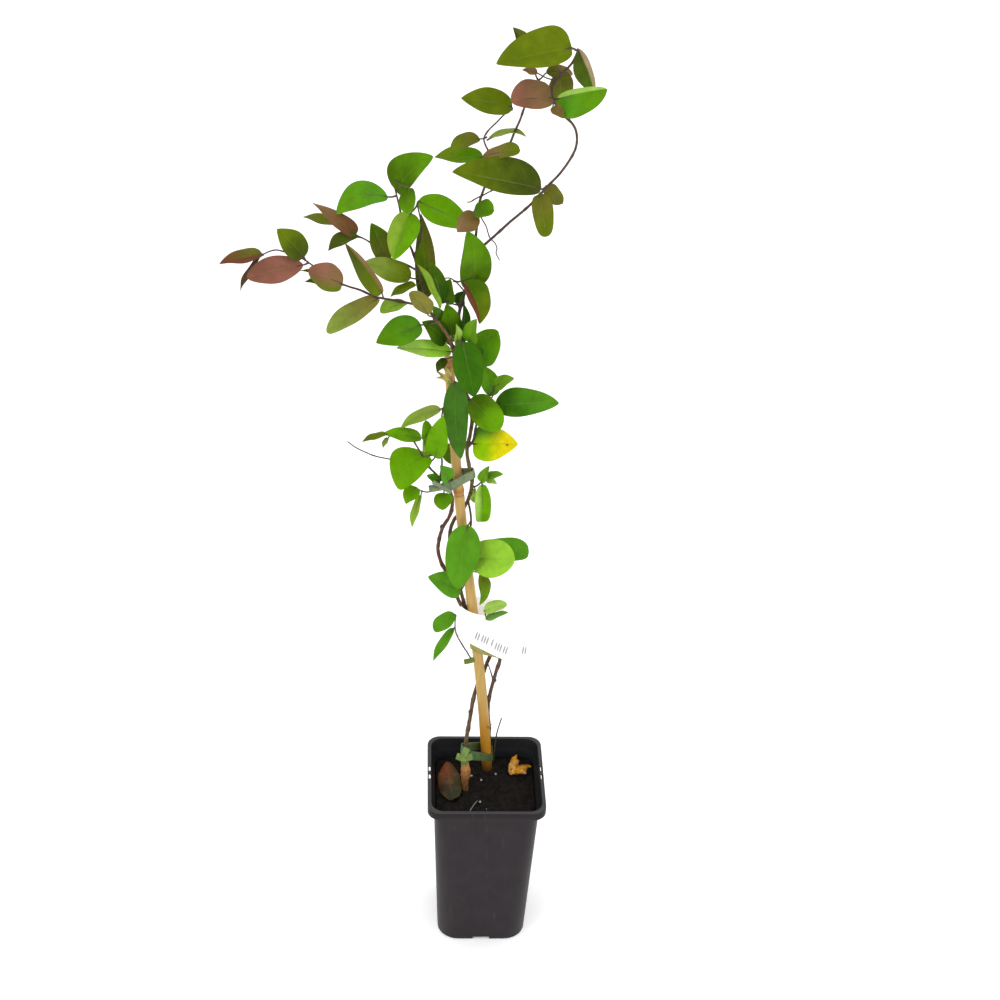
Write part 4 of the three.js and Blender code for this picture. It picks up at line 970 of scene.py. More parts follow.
def stalk_chain(blade, stems):
    """The stalk from the stem to the foot, and on as the rib under the blade."""
    along, length, face, side = leaf_frame(blade)
    root = stalk_root(blade, stems)
    reach = blade["foot"] - root
    span = np.linalg.norm(reach)
    sag = np.array([0, 0, -0.06 * span])
    stalk = [root, root + reach * 0.5 + sag, blade["foot"]] if span > 4 else [root, blade["foot"]]
    rib = []
    for t in (0.12, 0.3, 0.5, 0.7, 0.86):
        arch = 4 * t * (1 - t)
        droop = blade["curl"] * max(0, (t - 0.55) / 0.45) ** 2
        rib.append(blade["foot"] + along * length * t + face * (blade["bow"] * arch - 0.62 * (1 - t) - droop)
                   + side * blade["swerve"] * arch)
    line = even_line([*stalk, *rib], 1.8)
    length_so_far = reached(line)
    thick = min(0.8, 0.45 + blade["width"] * 0.012)
    places = [0, 2.5, span, length_so_far[-1]]
    radius = np.interp(length_so_far, places, [thick * 1.35, thick, thick * 0.95, 0.14])
    return line, radius, ("wine", "wine" if blade["tones"][0] in RED_TONES else "under_green")


RED_TONES = ("bronze", "purple", "pink_brown", "dark_purple")
TWIG_PIECES = {}
for name, (stems, leaves) in SPRAYS.items():
    chains = [stem_chain(s) for s in stems] + [stalk_chain(blade, stems) for blade in leaves]
    TWIG_PIECES[name] = TWIGS.run(f"twigs_{name}", chain_mesh(chains))
    stands_for(TWIG_PIECES[name], "bark", f"shoot_{name}")

# %% [markdown]
# # Short hairs
# Young honeysuckle stems wear short pale hairs, which soften their outline against the light. A particle
# system would do, but it isn't part of a mesh. So another machine strews points over the swept twigs with
# a fixed seed, and stands a thin spike of three sides on each, tipped a little by chance.

# %% Short hairs on the young stems


def hair_paint(tree):
    along = tree.noise(place_of(tree), 600.0, 2.0)
    colour = tree.blend(along, tint(148, 132, 104), tint(196, 186, 158))
    return {"Base_Color": colour, "Roughness": 0.6 + along * 0.1}


def hair_machine():
    hair = finish("hair", hair_paint, Specular_IOR_Level=0.1)
    m = Machine("hair_machine", {"Density": 160000.0, "Length": 1.0, "Thickness": 0.09, "Lean": 0.5,
                                 "Seed": 7, "Hair": hair})
    values = {"Mesh": m.start, "Density": m.size("Density"), "Seed": m.size("Seed")}
    points = m.node("GeometryNodeDistributePointsOnFaces", None, values)
    upright = Wire(m, points.socket.node.outputs["Rotation"])
    values = {"Vertices": 3, "Radius Top": 0.0, "Radius Bottom": m.size("Thickness") * (0.5 * MM),
              "Depth": m.size("Length") * MM}
    spike = m.node("GeometryNodeMeshCone", {"fill_type": "TRIANGLE_FAN"}, values)
    lean = m.size("Lean")
    limits = {"Min": m.joined(-lean, -lean, 0.0), "Max": m.joined(lean, lean, 6.0)}
    tilt = m.node("FunctionNodeRandomValue", {"data_type": "FLOAT_VECTOR"}, limits)
    turned = m.node("FunctionNodeRotateRotation", {"rotation_space": "LOCAL"}, {0: upright, 1: tilt})
    values = {"Points": points, "Instance": spike, "Rotation": turned}
    hairs = m.node("GeometryNodeInstanceOnPoints", None, values)
    hairs = m.node("GeometryNodeRealizeInstances", None, {"Geometry": hairs})
    m.close(m.dressed(hairs, m.size("Hair")))
    return m


HAIRS = hair_machine()
for name, twigs in TWIG_PIECES.items():
    stands_for(HAIRS.run(f"hairs_{name}", twigs.data.copy()), "bark")

# %% [markdown]
# # The cane and the two main stems
# The bamboo cane is a rod with a low ring at each joint and a thin scar under it. The two woody stems
# wind round it. All three are chains for the twig machine again, with more sides. Bamboo gets a finish of
# its own with long streaks, and the stems wear the same bark as the twigs, in browner tones.

# %% The cane's course, and the two stems'
SOIL_HEIGHT = 157.0
CANE_RADIUS, CANE_TOP_RADIUS = 4.9, 3.7
CANE_DEPTH_IN_SOIL = 136.0
STEM_DEPTH_IN_SOIL = 30.0
CANE_FULLER = 0.4
CANE_JOINTS = ((214, 0.1), (341, 0.8), (476, 1.0), (602, 0.8))
STUMP_RADII = (2.4, 2.7, 3.5, 4.6, 4.4, 3.0)

CANE_SIGHT = [(487, 768, 27), (484, 720, 27), (480.5, 680, 27), (476, 640, 27), (471.5, 600, 27),
              (466.5, 560, 27), (460.5, 510, 26), (455.5, 455, 26), (452, 410, 25), (449, 358, 25)]
LEFT_SIGHT = [(466, 790, 0), (466, 778, 1), (465, 765, 5), (465, 750, 12), (467, 735, 17),
              (470, 718, 22), (473, 700, 28), (477, 686, 34), (482, 675, 37), (487, 663, 34),
              (491, 652, 29), (489, 642, 22), (481, 632, 18), (472, 623, 19), (466.5, 615, 25),
              (460, 603, 25), (454, 590, 24), (448, 575, 20), (441, 562, 17), (438, 550, 15),
              (439, 540, 14), (443, 527, 14), (449, 517, 15), (452, 508, 17), (452, 498, 19),
              (449, 489, 19), (444, 482, 17.5)]
RIGHT_SIGHT = [(487, 762, 36), (489, 740, 35), (489, 725, 32), (488, 712, 31), (489, 698, 30),
               (492, 686, 29), (496, 672, 28), (500, 658, 29), (497, 646, 34), (486, 634, 37),
               (472, 623, 35), (466.5, 612, 32), (463.5, 601, 29), (460, 588, 24), (456, 570, 19),
               (451, 548, 19), (450, 532, 22), (454, 520, 30), (461, 511, 35), (467, 502, 33),
               (471, 490, 27), (472, 478, 22), (469, 465, 18), (467, 450, 17), (470, 435, 17),
               (472, 421, 19), (470, 405, 25), (464, 388, 33), (458, 374, 33), (455, 364, 28)]
STUMP_SIGHT = [(464.5, 791, 0), (465, 786, 0), (465, 781, 1), (465.5, 775, 2), (465.5, 769, 4),
               (465, 762, 6)]


def sunk_below(points, depth):
    slope = unit(points[0] - points[1])
    return [points[0] - slope * depth / slope[2], *points]


def rooted(sight):
    points = all_seen(sight)
    return [np.array([points[0][0] - 2, points[0][1] + 2, SOIL_HEIGHT - STEM_DEPTH_IN_SOIL]), *points]


CANE_POINTS = sunk_below(all_seen(CANE_SIGHT), CANE_DEPTH_IN_SOIL)
LEFT_POINTS, RIGHT_POINTS = rooted(LEFT_SIGHT), rooted(RIGHT_SIGHT)
POLES = ((LEFT_POINTS, 2.7, 1.3), (CANE_POINTS, CANE_RADIUS, CANE_TOP_RADIUS), (RIGHT_POINTS, 2.3, 1.6))
print("cane rises from", np.round(CANE_POINTS[0]), "to", np.round(CANE_POINTS[-1]))

# %% The finish of bamboo, with the washes that change with height in metres
CANE_WASHES = ((0.28, 0.36, 0.4, tint(216, 178, 108)), (0.45, 0.6, 0.6, tint(184, 138, 92)),
               (0.25, 0.19, 0.9, tint(176, 120, 28)), (0.182, 0.158, 0.9, tint(66, 42, 24)))


def bamboo_paint(tree):
    x, y, z = tree.split(place_of(tree))
    streak = tree.noise(tree.joined(x, y, z * 0.03), 900.0, 4.0)
    blotch = tree.noise(tree.joined(x, y, z * 0.35), 70.0, 3.0)
    colour = tree.blend(tree.smooth(streak, 0.25, 0.75), tint(172, 136, 70), tint(192, 158, 92))
    colour = tree.wash(colour, blotch, 0.48, 0.7, 0.5, tint(184, 140, 62))
    for low, high, share, tone in CANE_WASHES:
        colour = tree.wash(colour, z, low, high, share, tone)
    colour = tree.blend(own(tree, "joint") * 0.75, colour, tint(160, 98, 46))
    colour = tree.blend(own(tree, "scar") * 0.6, colour, tint(104, 66, 34))
    rough = 0.36 + (streak - 0.5) * 0.3 + own(tree, "joint") * 0.15
    return surface(tree, colour, rough, streak, 0.00018, 0.5)


BAMBOO = finish("bamboo", bamboo_paint, IOR=1.45, Specular_IOR_Level=0.25)
print("finish:", BAMBOO.name)

# %% Sweep the cane


def cane_chain():
    line = even_line(CANE_POINTS, 1.1)
    height = line[:, 2]
    share = (height - height[0]) / (height[-1] - height[0])
    radius = CANE_RADIUS + CANE_FULLER + (CANE_TOP_RADIUS - CANE_RADIUS) * share
    joint, scar = np.zeros(len(line)), np.zeros(len(line))
    for z, strength in CANE_JOINTS:
        joint += strength * np.exp(-((height - z) / 3.0) ** 2)
        scar += strength * np.exp(-((height - z + 4.2) / 1.0) ** 2)
        radius += strength * 0.35 * np.exp(-((height - z + 8) / 5) ** 2)
    radius += 0.6 * joint - 0.3 * scar
    return line, radius, joint, scar


line, radius, joint, scar = cane_chain()
mesh = chain_mesh([(line, radius, ("bamboo", "bamboo"))])
carry(mesh, "joint", joint)
carry(mesh, "scar", scar)
stands_for(TWIGS.run("cane_rod", mesh, Sides=28, Knobs=0.02, Bark=BAMBOO), "bamboo", "cane")

# %% Sweep the two stems


def vine_chain(points, start, end, tones):
    line = even_line(points, 1.4)
    share = np.linspace(0, 1, len(line))
    knots = 1 + 0.28 * np.maximum(0, np.cos(share * np.pi * 26)) ** 10
    return line, (start + (end - start) * share) * knots, tones


def knot(across, down, depth, radius):
    """A short thick lump on a stem, where a twig once was."""
    return lump_chain(seen(across, down, depth), (0, 0, 1), KNOT_FORM, radius, "wine")


KNOT_FORM = ((-1.1, 0.3), (-0.6, 0.8), (0, 1.0), (0.6, 0.75), (1.1, 0.3))
stump_line = even_line(all_seen(STUMP_SIGHT), 1.2)
stump_share = np.linspace(0, 1, len(stump_line))
stump_radius = np.interp(stump_share, np.linspace(0, 1, len(STUMP_RADII)), STUMP_RADII)
STEM_CHAINS = {
    "left": [vine_chain(LEFT_POINTS, 2.05, 1.5, ("stem_brown", "stem_red")),
             (stump_line, stump_radius, ("stump_foot", "stump_top")),
             knot(470.5, 712, 22, 2.4), knot(442, 527, 13, 2.2)],
    "right": [vine_chain(RIGHT_POINTS, 1.75, 1.6, ("wine", "stem_olive")), knot(494, 680, 27.5, 2.5),
              rod(all_seen([(493, 680, 28), (490.5, 671, 28.5), (487, 661, 30)]), 1.2, 0.7, 0.5, "wine")],
}
for name, chains in STEM_CHAINS.items():
    stem_piece = TWIGS.run(f"vine_{name}", chain_mesh(chains), Sides=14, Knobs=0.3)
    stands_for(stem_piece, "bark", f"stem_{name}")

# %% [markdown]
# # The ties
# Soft grey-green tape goes once round the cane and both stems, and is pulled tight, so it follows the
# outside of three round rods, which is the farthest of them in each direction. The band is a single skin
# here: rows of points at several levels of a sloping plane. Solidify then gives it its thickness. Loose
# ends are strips on smooth paths.

# %% A band that is pulled tight round three rods
TAPE_THICKNESS, TIE_CLEARANCE = 0.9, 0.91
ROUND_STEPS, TIE_LEVELS, STRIP_STEP = 72, 9, 1.0


def slope_axes(degrees):
    angle = np.radians(degrees)
    u, v = np.array([np.cos(angle), 0, np.sin(angle)]), np.array([0.0, 1.0, 0.0])
    return u, v, np.cross(u, v)


def crossing(pole, centre, axes, level):
    """The oval that a rod makes in a sloping level: its middle, lean, draw and radius."""
    points, start, end = pole
    u, v, n = axes
    line = smooth_line(points, 40)
    height = (line - centre) @ n - level
    at = int(np.nonzero(height[:-1] * height[1:] <= 0)[0][0])
    heading = unit(line[at + 1] - line[at])
    lean = unit(np.array([heading @ u, heading @ v]))
    spot = line[at] + (line[at + 1] - line[at]) * height[at] / (height[at] - height[at + 1]) - centre
    radius = start + (end - start) * at / len(line)
    return np.array([spot @ u, spot @ v]), lean, 1 / abs(heading @ n), radius


def farthest(oval, direction):
    middle, lean, draw, radius = oval
    pull = direction + lean * (direction @ lean) * (draw * draw - 1)
    return middle + pull * radius / np.sqrt(direction @ pull)


def tie_rows(centre, slope, reach):
    """Rows of points of a tight band. reach is how far below and above its middle it goes."""
    centre, axes = seen(*centre), slope_axes(slope)
    rows = []
    for k, level in enumerate(np.linspace(*reach, TIE_LEVELS)):
        ovals = [crossing(pole, centre, axes, level) for pole in POLES]
        edge = abs(2 * k / (TIE_LEVELS - 1) - 1)
        row = []
        for s in range(ROUND_STEPS):
            angle = 2 * np.pi * s / ROUND_STEPS
            direction = np.array([np.cos(angle), np.sin(angle)])
            ends = [farthest(oval, direction) for oval in ovals]
            spot = max(ends, key=lambda end: end @ direction)
            creases = 0.18 * np.sin(angle * 9 + slope) * edge
            out = TIE_CLEARANCE + TAPE_THICKNESS / 2 + creases - 0.25 * edge**2
            rise = level + 0.35 * np.sin(angle * 3 + slope) + 0.2 * np.sin(angle * 7)
            spot = spot + direction * out
            row.append(centre + axes[0] * spot[0] + axes[1] * spot[1] + axes[2] * rise)
        rows.append(row)
    return rows


print("a band has", TIE_LEVELS, "rows of", ROUND_STEPS, "points")

# %% Strips, skins and their thickness


def sheet_mesh(rows, closed):
    """A skin over rows of points in mm. closed joins each row's end to its start."""
    rows = np.asarray(rows, float)
    count, wide = rows.shape[:2]
    mesh = bpy.data.meshes.new("sheet")
    steps = range(wide if closed else wide - 1)
    faces = [(r * wide + s, r * wide + (s + 1) % wide, (r + 1) * wide + (s + 1) % wide, (r + 1) * wide + s)
             for r in range(count - 1) for s in steps]
    mesh.from_pydata([tuple(p * MM) for p in rows.reshape(-1, 3)], [], faces)
    span = wide if closed else wide - 1
    carry(mesh, "strip_place", [(s / span, r / (count - 1), 0.0) for r in range(count) for s in range(wide)])
    return mesh


def strip_rows(path, width, across=None, columns=7, crown=0.3):
    """Rows of points of a strip along a smooth path. It faces the viewer unless across says otherwise."""
    rows = []
    line = even_line(path, STRIP_STEP)
    for spot, way in zip(line, np.gradient(line, axis=0)):
        way = unit(way)
        side = unit(np.cross(way, EYE - path[0]) if across is None else across - way * (across @ way))
        face = np.cross(side, way)
        shares = np.linspace(-1, 1, columns)
        rows.append([spot + side * w * width / 2 + face * crown * (1 - w * w) for w in shares])
    return rows


def meshed(work):
    """The mesh of what was built in work, which ends with it."""
    mesh = bpy.data.meshes.new("made")
    work.to_mesh(mesh)
    work.free()
    return mesh


def smoothly(mesh, *materials, sharp_from=None):
    """Gives a mesh its materials and smooth faces, and sharp edges from that angle on."""
    mesh.materials.clear()
    for material in materials:
        mesh.materials.append(material)
    mesh.polygons.foreach_set("use_smooth", [True] * len(mesh.polygons))
    if sharp_from:
        mesh.set_sharp_from_angle(angle=np.radians(sharp_from))
    return mesh


def thickened(name, meshes, thickness, material, bevel):
    """Skins joined, given their thickness, and smoothed."""
    work = bmesh.new()
    for mesh in meshes:
        work.from_mesh(mesh)
    base = piece(name + "_skin", meshed(work))
    solid = base.modifiers.new("thickness", "SOLIDIFY")
    solid.thickness, solid.offset = thickness * MM, 0.0
    rounding = base.modifiers.new("edges", "BEVEL")
    rounding.width, rounding.segments, rounding.limit_method = bevel * MM, 2, "ANGLE"
    return piece(name, smoothly(flattened(base), material, sharp_from=40))


print("a test strip has", len(strip_rows([np.zeros(3), np.array([9.0, 0, 0])], 4)), "rows")

# %% Tape the cane and the stems together


def tape_paint(tree):
    where = place_of(tree)
    crease = tree.noise(where, 260.0, 4.0)
    fine = tree.noise(where, 1400.0, 2.0)
    colour = own(tree, "tone", "Color")
    darker = tree.blend(1.0, colour, tint(196, 196, 190), "MULTIPLY")
    colour = tree.wash(colour, crease, 0.35, 0.65, 0.6, darker)
    colour = tree.wash(colour, fine, 0.5, 0.75, 0.12, tint(170, 182, 140))
    return surface(tree, colour, 0.42 + (fine - 0.5) * 0.25, crease + fine * 0.2, 0.0006, 0.6)


TAPE = finish("soft_tape", tape_paint, Specular_IOR_Level=0.15)
# Each band's second tone is for its far side: the lower band's brown and the upper band's moss are darker
# there, as painted shade.
TIES = {
    "lower": ((478, 753, 20), -35, (-2.8, 4.0), ("tape_green", "tape_brown"), [
        ([(467, 748, 6), (464, 756, 2), (464.5, 765, 3)], 6, "tape_sage"),
        ([(472, 756.5, 6), (464.5, 758.5, 1.5), (456.5, 756, 2)], 6, "tape_sage")]),
    "upper": ((485, 648, 27), -24, (-4.25, 4.25), ("tape_olive", "tape_moss"), [
        ([(474.5, 659.5, 17), (469, 661, 15), (464, 662, 14)], 4.6, "tape_moss")]),
    "middle": ((461, 478, 22), 32, (-4.25, 4.25), ("tape_grey", "tape_grey"), [
        ([(449, 486, 14), (441, 487, 2), (429, 489, -4)], 6, "tape_grey"),
        ([(451, 492, 13), (443, 488, 3), (433, 482, -7)], 3, "tape_grey")]),
}


def toned(mesh, tone, shaded_back_tone):
    """A tone at every point of a mesh: one in front, another far from the viewer, darker where it paints
    shade on a loop's far side.
    """
    depth = np.array([v.co.y for v in mesh.vertices])
    share = np.clip((depth - depth.min()) / np.ptp(depth) * 2 - 0.5, 0, 1)[:, None]
    tones = np.array(TONES[tone]) * (1 - share) + np.array(TONES[shaded_back_tone]) * share
    carry(mesh, "tone", tones)
    return mesh


for name, (centre, slope, reach, tones, tails) in TIES.items():
    skins = [toned(sheet_mesh(tie_rows(centre, slope, reach), True), *tones)]
    for path, width, tone in tails:
        skins.append(toned(sheet_mesh(strip_rows(all_seen(path), width), False), tone, tone))
    stands_for(thickened(f"tape_{name}", skins, TAPE_THICKNESS, TAPE, 0.2), "tape", f"tie_{name}")

# %% [markdown]
# # The label
# A plain white strip of soft plastic goes round the stems in a loose loop, and its end stands off to the
# right. What is printed on the real one isn't copied: a few short grey bars show where print would be, as
# a formula in the strip's own marks.

# %% Make the label
LABEL_WIDTH, LABEL_THICKNESS, LABEL_LOOP = 32.0, 0.8, np.array([42.0, 30.0])
LABEL_PATH = [(476, 629.5, 12.5), (481, 632, 12.3), (490, 636.5, 12.1), (502, 642, 12.4), (516, 647, 15),
              (531, 650, 19)]
PRINT_GROUPS = ((0.065, 2, 0.32), (0.175, 3, 0.33), (0.345, 1, 0.34), (0.425, 3, 0.3), (0.575, 2, 0.3),
                (0.87, 2, 0.445))
PRINT_STEP, PRINT_HALF, PRINT_TALL, PRINT_LEAN = 0.044, 0.025, 0.42, 0.15


def label_paint(tree):
    along, up, _ = tree.split(own(tree, "strip_place", "Vector"))
    bars = 0.0
    for start, count, height in PRINT_GROUPS:
        row = tree.bump_at(up, height, PRINT_TALL / 2)
        leaning = along + (up - height) * PRINT_LEAN
        for k in range(count):
            bars = tree.bump_at(leaning, start + k * PRINT_STEP, PRINT_HALF) * row + bars
    bars = tree.smooth(bars, 0.12, 0.4) * own(tree, "printed")
    wear = tree.noise(place_of(tree), 300.0, 3.0)
    colour = tree.blend(tree.smooth(wear, 0.35, 0.7), tint(246, 246, 245), tint(252, 252, 251))
    colour = tree.blend(bars * 0.8, colour, tint(104, 104, 110))
    # The colour also feeds the emission: a faint glow, painted light that keeps the strip white where it lies
    # in shade.
    return {"Emission_Color": colour, **surface(tree, colour, 0.4 + (wear - 0.5) * 0.2, wear, 0.0003, 0.2)}


# The label's finish glows a little, as painted light.
LABEL_GLOWING_WHITE = finish("label_glowing_white", label_paint, Emission_Strength=0.25)
u, v, n = slope_axes(-8)
middle = seen(479.5, 620, 28)
wide, deep = LABEL_LOOP / 2 - LABEL_THICKNESS / 2
loop_rows = [[middle + u * wide * np.cos(angle) + v * deep * np.sin(angle) + n * level
              for angle in np.linspace(0, 2 * np.pi, ROUND_STEPS, endpoint=False)]
             for level in np.linspace(-LABEL_WIDTH / 2, LABEL_WIDTH / 2, 7)]
upright = np.array([0.0, 0.0, 1.0])
end_rows = strip_rows(all_seen(LABEL_PATH), LABEL_WIDTH, across=upright, columns=17, crown=0.5)
loop, end = sheet_mesh(loop_rows, True), sheet_mesh(np.swapaxes(np.array(end_rows), 0, 1), False)
carry(loop, "printed", np.zeros(len(loop.vertices)))
carry(end, "printed", np.ones(len(end.vertices)))
label = thickened("label_strip", [loop, end], LABEL_THICKNESS, LABEL_GLOWING_WHITE, 0.15)

# Only the side that faces the viewer is printed.
for vertex, mark in zip(label.data.vertices, label.data.attributes["printed"].data):
    if vertex.normal @ (Vector(EYE * MM) - vertex.co) < 0:
        mark.value = 0.0
stands_for(label, "label_plastic", "label")

# %% [markdown]
# # The pot
# The pot is one thin moulding: a tapering body with rounded corners, a lip that is turned down all round,
# and drain notches in its base. Its section is a short list of widths and heights, and each becomes a
# ring of a rounded square, with many steps in its corners. The notches and the slots of the lip are cut
# with boxes, as the mould would.

# %% The pot's sizes and rings
POT_HEIGHT, RIM_WIDTH, BODY_TOP_WIDTH, BASE_WIDTH = 176.0, 110.0, 98.0, 85.0
WALL, FLOOR, LIP_WIDTH, SKIRT_HEIGHT, COLLAR_HEIGHT = 1.2, 2.0, 3.6, 8.5, 12.0
RIM_CORNER, BASE_CORNER = 12.0, 20.0


def body_width(z):
    return BASE_WIDTH + (BODY_TOP_WIDTH - BASE_WIDTH) * z / (POT_HEIGHT - COLLAR_HEIGHT)


def corner_at(z):
    return BASE_CORNER + (RIM_CORNER - BASE_CORNER) * z / POT_HEIGHT


def rounded_square(width, corner, z, steps=12):
    ring = []
    for c in range(4):
        middle = np.pi / 4 + c * np.pi / 2
        reach = (width / 2 - corner) * np.sqrt(2)
        for i in range(steps + 1):
            angle = middle + (i / steps - 0.5) * np.pi / 2
            ring.append((reach * np.cos(middle) + corner * np.cos(angle),
                         reach * np.sin(middle) + corner * np.sin(angle), z))
    return ring


def lofted(rings):
    """A closed skin over rings, with a face at both ends."""
    rings = np.asarray(rings, float)
    wide = rings.shape[1]
    work = bmesh.new()
    points = [[work.verts.new(tuple(p * MM)) for p in ring] for ring in rings]
    for low, high in zip(points, points[1:]):
        for s in range(wide):
            work.faces.new((low[s], low[(s + 1) % wide], high[(s + 1) % wide], high[s]))
    work.faces.new(points[0][::-1])
    work.faces.new(points[-1])
    bmesh.ops.recalc_face_normals(work, faces=work.faces)
    return meshed(work)


under = POT_HEIGHT - COLLAR_HEIGHT
inside = RIM_WIDTH - 2 * LIP_WIDTH
skirt_inside = RIM_WIDTH - 2 * WALL
skirt_foot = POT_HEIGHT - SKIRT_HEIGHT
POT_SECTION = [
    (BASE_WIDTH - 3, 0), (BASE_WIDTH - 1.2, 0.3), (BASE_WIDTH, 1.4),
    *[(body_width(z), z) for z in np.linspace(6, under, 28)],
    (inside + 1.2, POT_HEIGHT - 3), (inside + 2 * WALL, POT_HEIGHT - WALL), (skirt_inside, POT_HEIGHT - WALL),
    (skirt_inside, skirt_foot), (RIM_WIDTH - 0.3, skirt_foot), (RIM_WIDTH, skirt_foot + 0.3),
    (RIM_WIDTH, POT_HEIGHT - 1.0), (RIM_WIDTH - 0.5, POT_HEIGHT - 0.3), (RIM_WIDTH - 1.6, POT_HEIGHT),
    (inside + 1.2, POT_HEIGHT), (inside + 0.3, POT_HEIGHT - 0.3), (inside - 1.4, POT_HEIGHT - 3),
    (body_width(under) - 2 * WALL, under + 0.6),
    *[(body_width(z) - 2 * WALL, z) for z in np.linspace(under - 6, FLOOR, 14)],
]
print(len(POT_SECTION), "rings")

# %% The finish of the pot's plastic, with painted shade on the lip and a painted highlight along its top, at heights in metres
LIP_PAINTED_SHADE, LIP_PAINTED_HIGHLIGHT = (0.1655, 0.169), (0.1751, 0.1757)


def pot_paint(dark, pale, scuffed):
    def paint(tree):
        where = place_of(tree)
        x, y, z = tree.split(where)
        grain = tree.noise(where, 1800.0, 2.0)
        dust = tree.noise(where, 45.0, 5.0, 0.6)
        scuff = tree.noise(tree.joined(x, y, z * 0.15), 260.0, 3.0)
        colour = tree.blend(tree.smooth(dust, 0.3, 0.8), dark, pale)
        # The lip is painted darker as shade, and a thin ring at its top edge is painted lighter as a
        # highlight.
        colour = tree.wash(colour, z, *LIP_PAINTED_SHADE, 0.5, tint(24, 21, 21))
        colour = tree.wash(colour, z, *LIP_PAINTED_HIGHLIGHT, 0.35, tint(92, 92, 94))
        colour = tree.wash(colour, scuff, 0.6, 0.78, scuffed, tint(96, 92, 94))
        rough = 0.44 + (dust - 0.5) * 0.25 + (grain - 0.5) * 0.1
        return surface(tree, colour, rough, grain + dust * 2.0, 0.0002, 0.35)
    return paint


outside_paint = pot_paint(tint(36, 31, 35), tint(44, 39, 42), 0.12)
inside_paint = pot_paint(tint(34, 36, 38), tint(42, 44, 46), 0.06)
POT_OUTSIDE = finish("pot_outside", outside_paint, IOR=1.49, Specular_IOR_Level=0.13)
POT_INSIDE = finish("pot_inside", inside_paint, IOR=1.49, Specular_IOR_Level=0.1)
print("finishes:", POT_OUTSIDE.name, POT_INSIDE.name)

# %% Make the pot and cut its notches
DRAIN_WIDTH, DRAIN_HEIGHT, DRAIN_DEPTH = 16.0, 3.5, 9.0
SLOT_ACROSS, SLOT_LENGTH, SLOT_SPACING, SLOT_INSET = 2.1, 6.5, 11.0, 1.75


def boxes_mesh(boxes):
    """Boxes given as size and middle in mm, in one mesh."""
    work = bmesh.new()
    for size, middle in boxes:
        matrix = Matrix.Translation(Vector(middle) * MM) @ Matrix.Diagonal((*(Vector(size) * MM), 1.0))
        bmesh.ops.create_cube(work, size=1.0, matrix=matrix)
    return meshed(work)


cuts = []
for way in (-1, 1):
    drain = way * (BASE_WIDTH / 2 - DRAIN_DEPTH / 2 + 1)
    lift = DRAIN_HEIGHT / 2 - 1
    cuts += [((DRAIN_DEPTH + 2, DRAIN_WIDTH, DRAIN_HEIGHT + 2), (drain, 0, lift)),
             ((DRAIN_WIDTH, DRAIN_DEPTH + 2, DRAIN_HEIGHT + 2), (0, drain, lift))]
    for along in (-SLOT_SPACING / 2, SLOT_SPACING / 2):
        slot_middle = (way * (RIM_WIDTH / 2 - SLOT_INSET), along + 2, POT_HEIGHT - 2)
        cuts.append(((SLOT_ACROSS, SLOT_LENGTH, 6), slot_middle))
moulding = piece("pot_moulding", lofted([rounded_square(w, corner_at(z), z) for w, z in POT_SECTION]))
cutter = piece("pot_cutter", boxes_mesh(cuts))
cut = moulding.modifiers.new("notches", "BOOLEAN")
cut.object, cut.operation, cut.solver = cutter, "DIFFERENCE", "EXACT"
mesh = smoothly(flattened(moulding), POT_OUTSIDE, POT_INSIDE, sharp_from=28)
bpy.data.objects.remove(cutter)
for face in mesh.polygons:
    inward = face.normal.x * face.center.x + face.normal.y * face.center.y < -0.05 * MM
    face.material_index = 1 if inward or (face.normal.z > 0.9 and face.center.z < 10 * MM) else 0
stands_for(piece("pot_body", mesh), "pot_plastic", "pot")

# %% [markdown]
# # The soil and its crumbs
# Compost is a dark mass with a crumbly top: crumbs, splinters of bark, a few white grains of perlite and
# thin fibres. The mass is one closed skin with a rough top. The crumbs repeat by the hundred, so a
# machine strews them: points on the top, a lumpy pebble on each, turned and sized by chance with a fixed
# seed.

# %% The finish of compost and of what lies on it


def soil_paint(tree):
    where = place_of(tree)
    lump = tree.noise(where, 240.0, 6.0, 0.65)
    fine = tree.noise(where, 1100.0, 4.0, 0.7)
    colour = tree.blend(tree.smooth(lump, 0.35, 0.7), tint(17, 15, 13), tint(33, 28, 24))
    colour = tree.wash(colour, fine, 0.64, 0.74, 0.35, tint(60, 46, 34))
    return surface(tree, colour, 0.8 + (fine - 0.5) * 0.3, lump + fine * 0.5, 0.0012, 0.8)


def crumb_finish(name, dark, pale, shine=0.08):
    def paint(tree):
        fine = tree.noise(place_of(tree), 900.0, 4.0, 0.65)
        colour = tree.blend(own(tree, "luck") * 0.75 + fine * 0.25, dark, pale)
        return surface(tree, colour, 0.75 + (fine - 0.5) * 0.3, fine, 0.0005, 0.7)
    return finish(name, paint, Specular_IOR_Level=shine)


COMPOST = finish("compost", soil_paint, Specular_IOR_Level=0.08)
CRUMB = crumb_finish("crumb", tint(18, 15, 13), tint(44, 36, 29))
BARK_BIT = crumb_finish("bark_bit", tint(34, 25, 19), tint(70, 50, 34))
PERLITE = crumb_finish("perlite", tint(150, 152, 150), tint(206, 206, 202), 0.2)
print("finishes:", COMPOST.name, CRUMB.name, BARK_BIT.name, PERLITE.name)

# %% Make the mass of soil
SOIL_ROUND, SOIL_RINGS = 176, 44
CANE_FOOT, HEAP_HEIGHT, HEAP_REACH = seen(*CANE_SIGHT[0]), 3.2, 9.0


def around_square(width, corner, z):
    """Even steps round a rounded square."""
    ring = rounded_square(width, corner, z, 10)
    ring = np.array([*ring, ring[0]])
    return read_at(ring, np.linspace(0, reached(ring)[-1], SOIL_ROUND, endpoint=False))


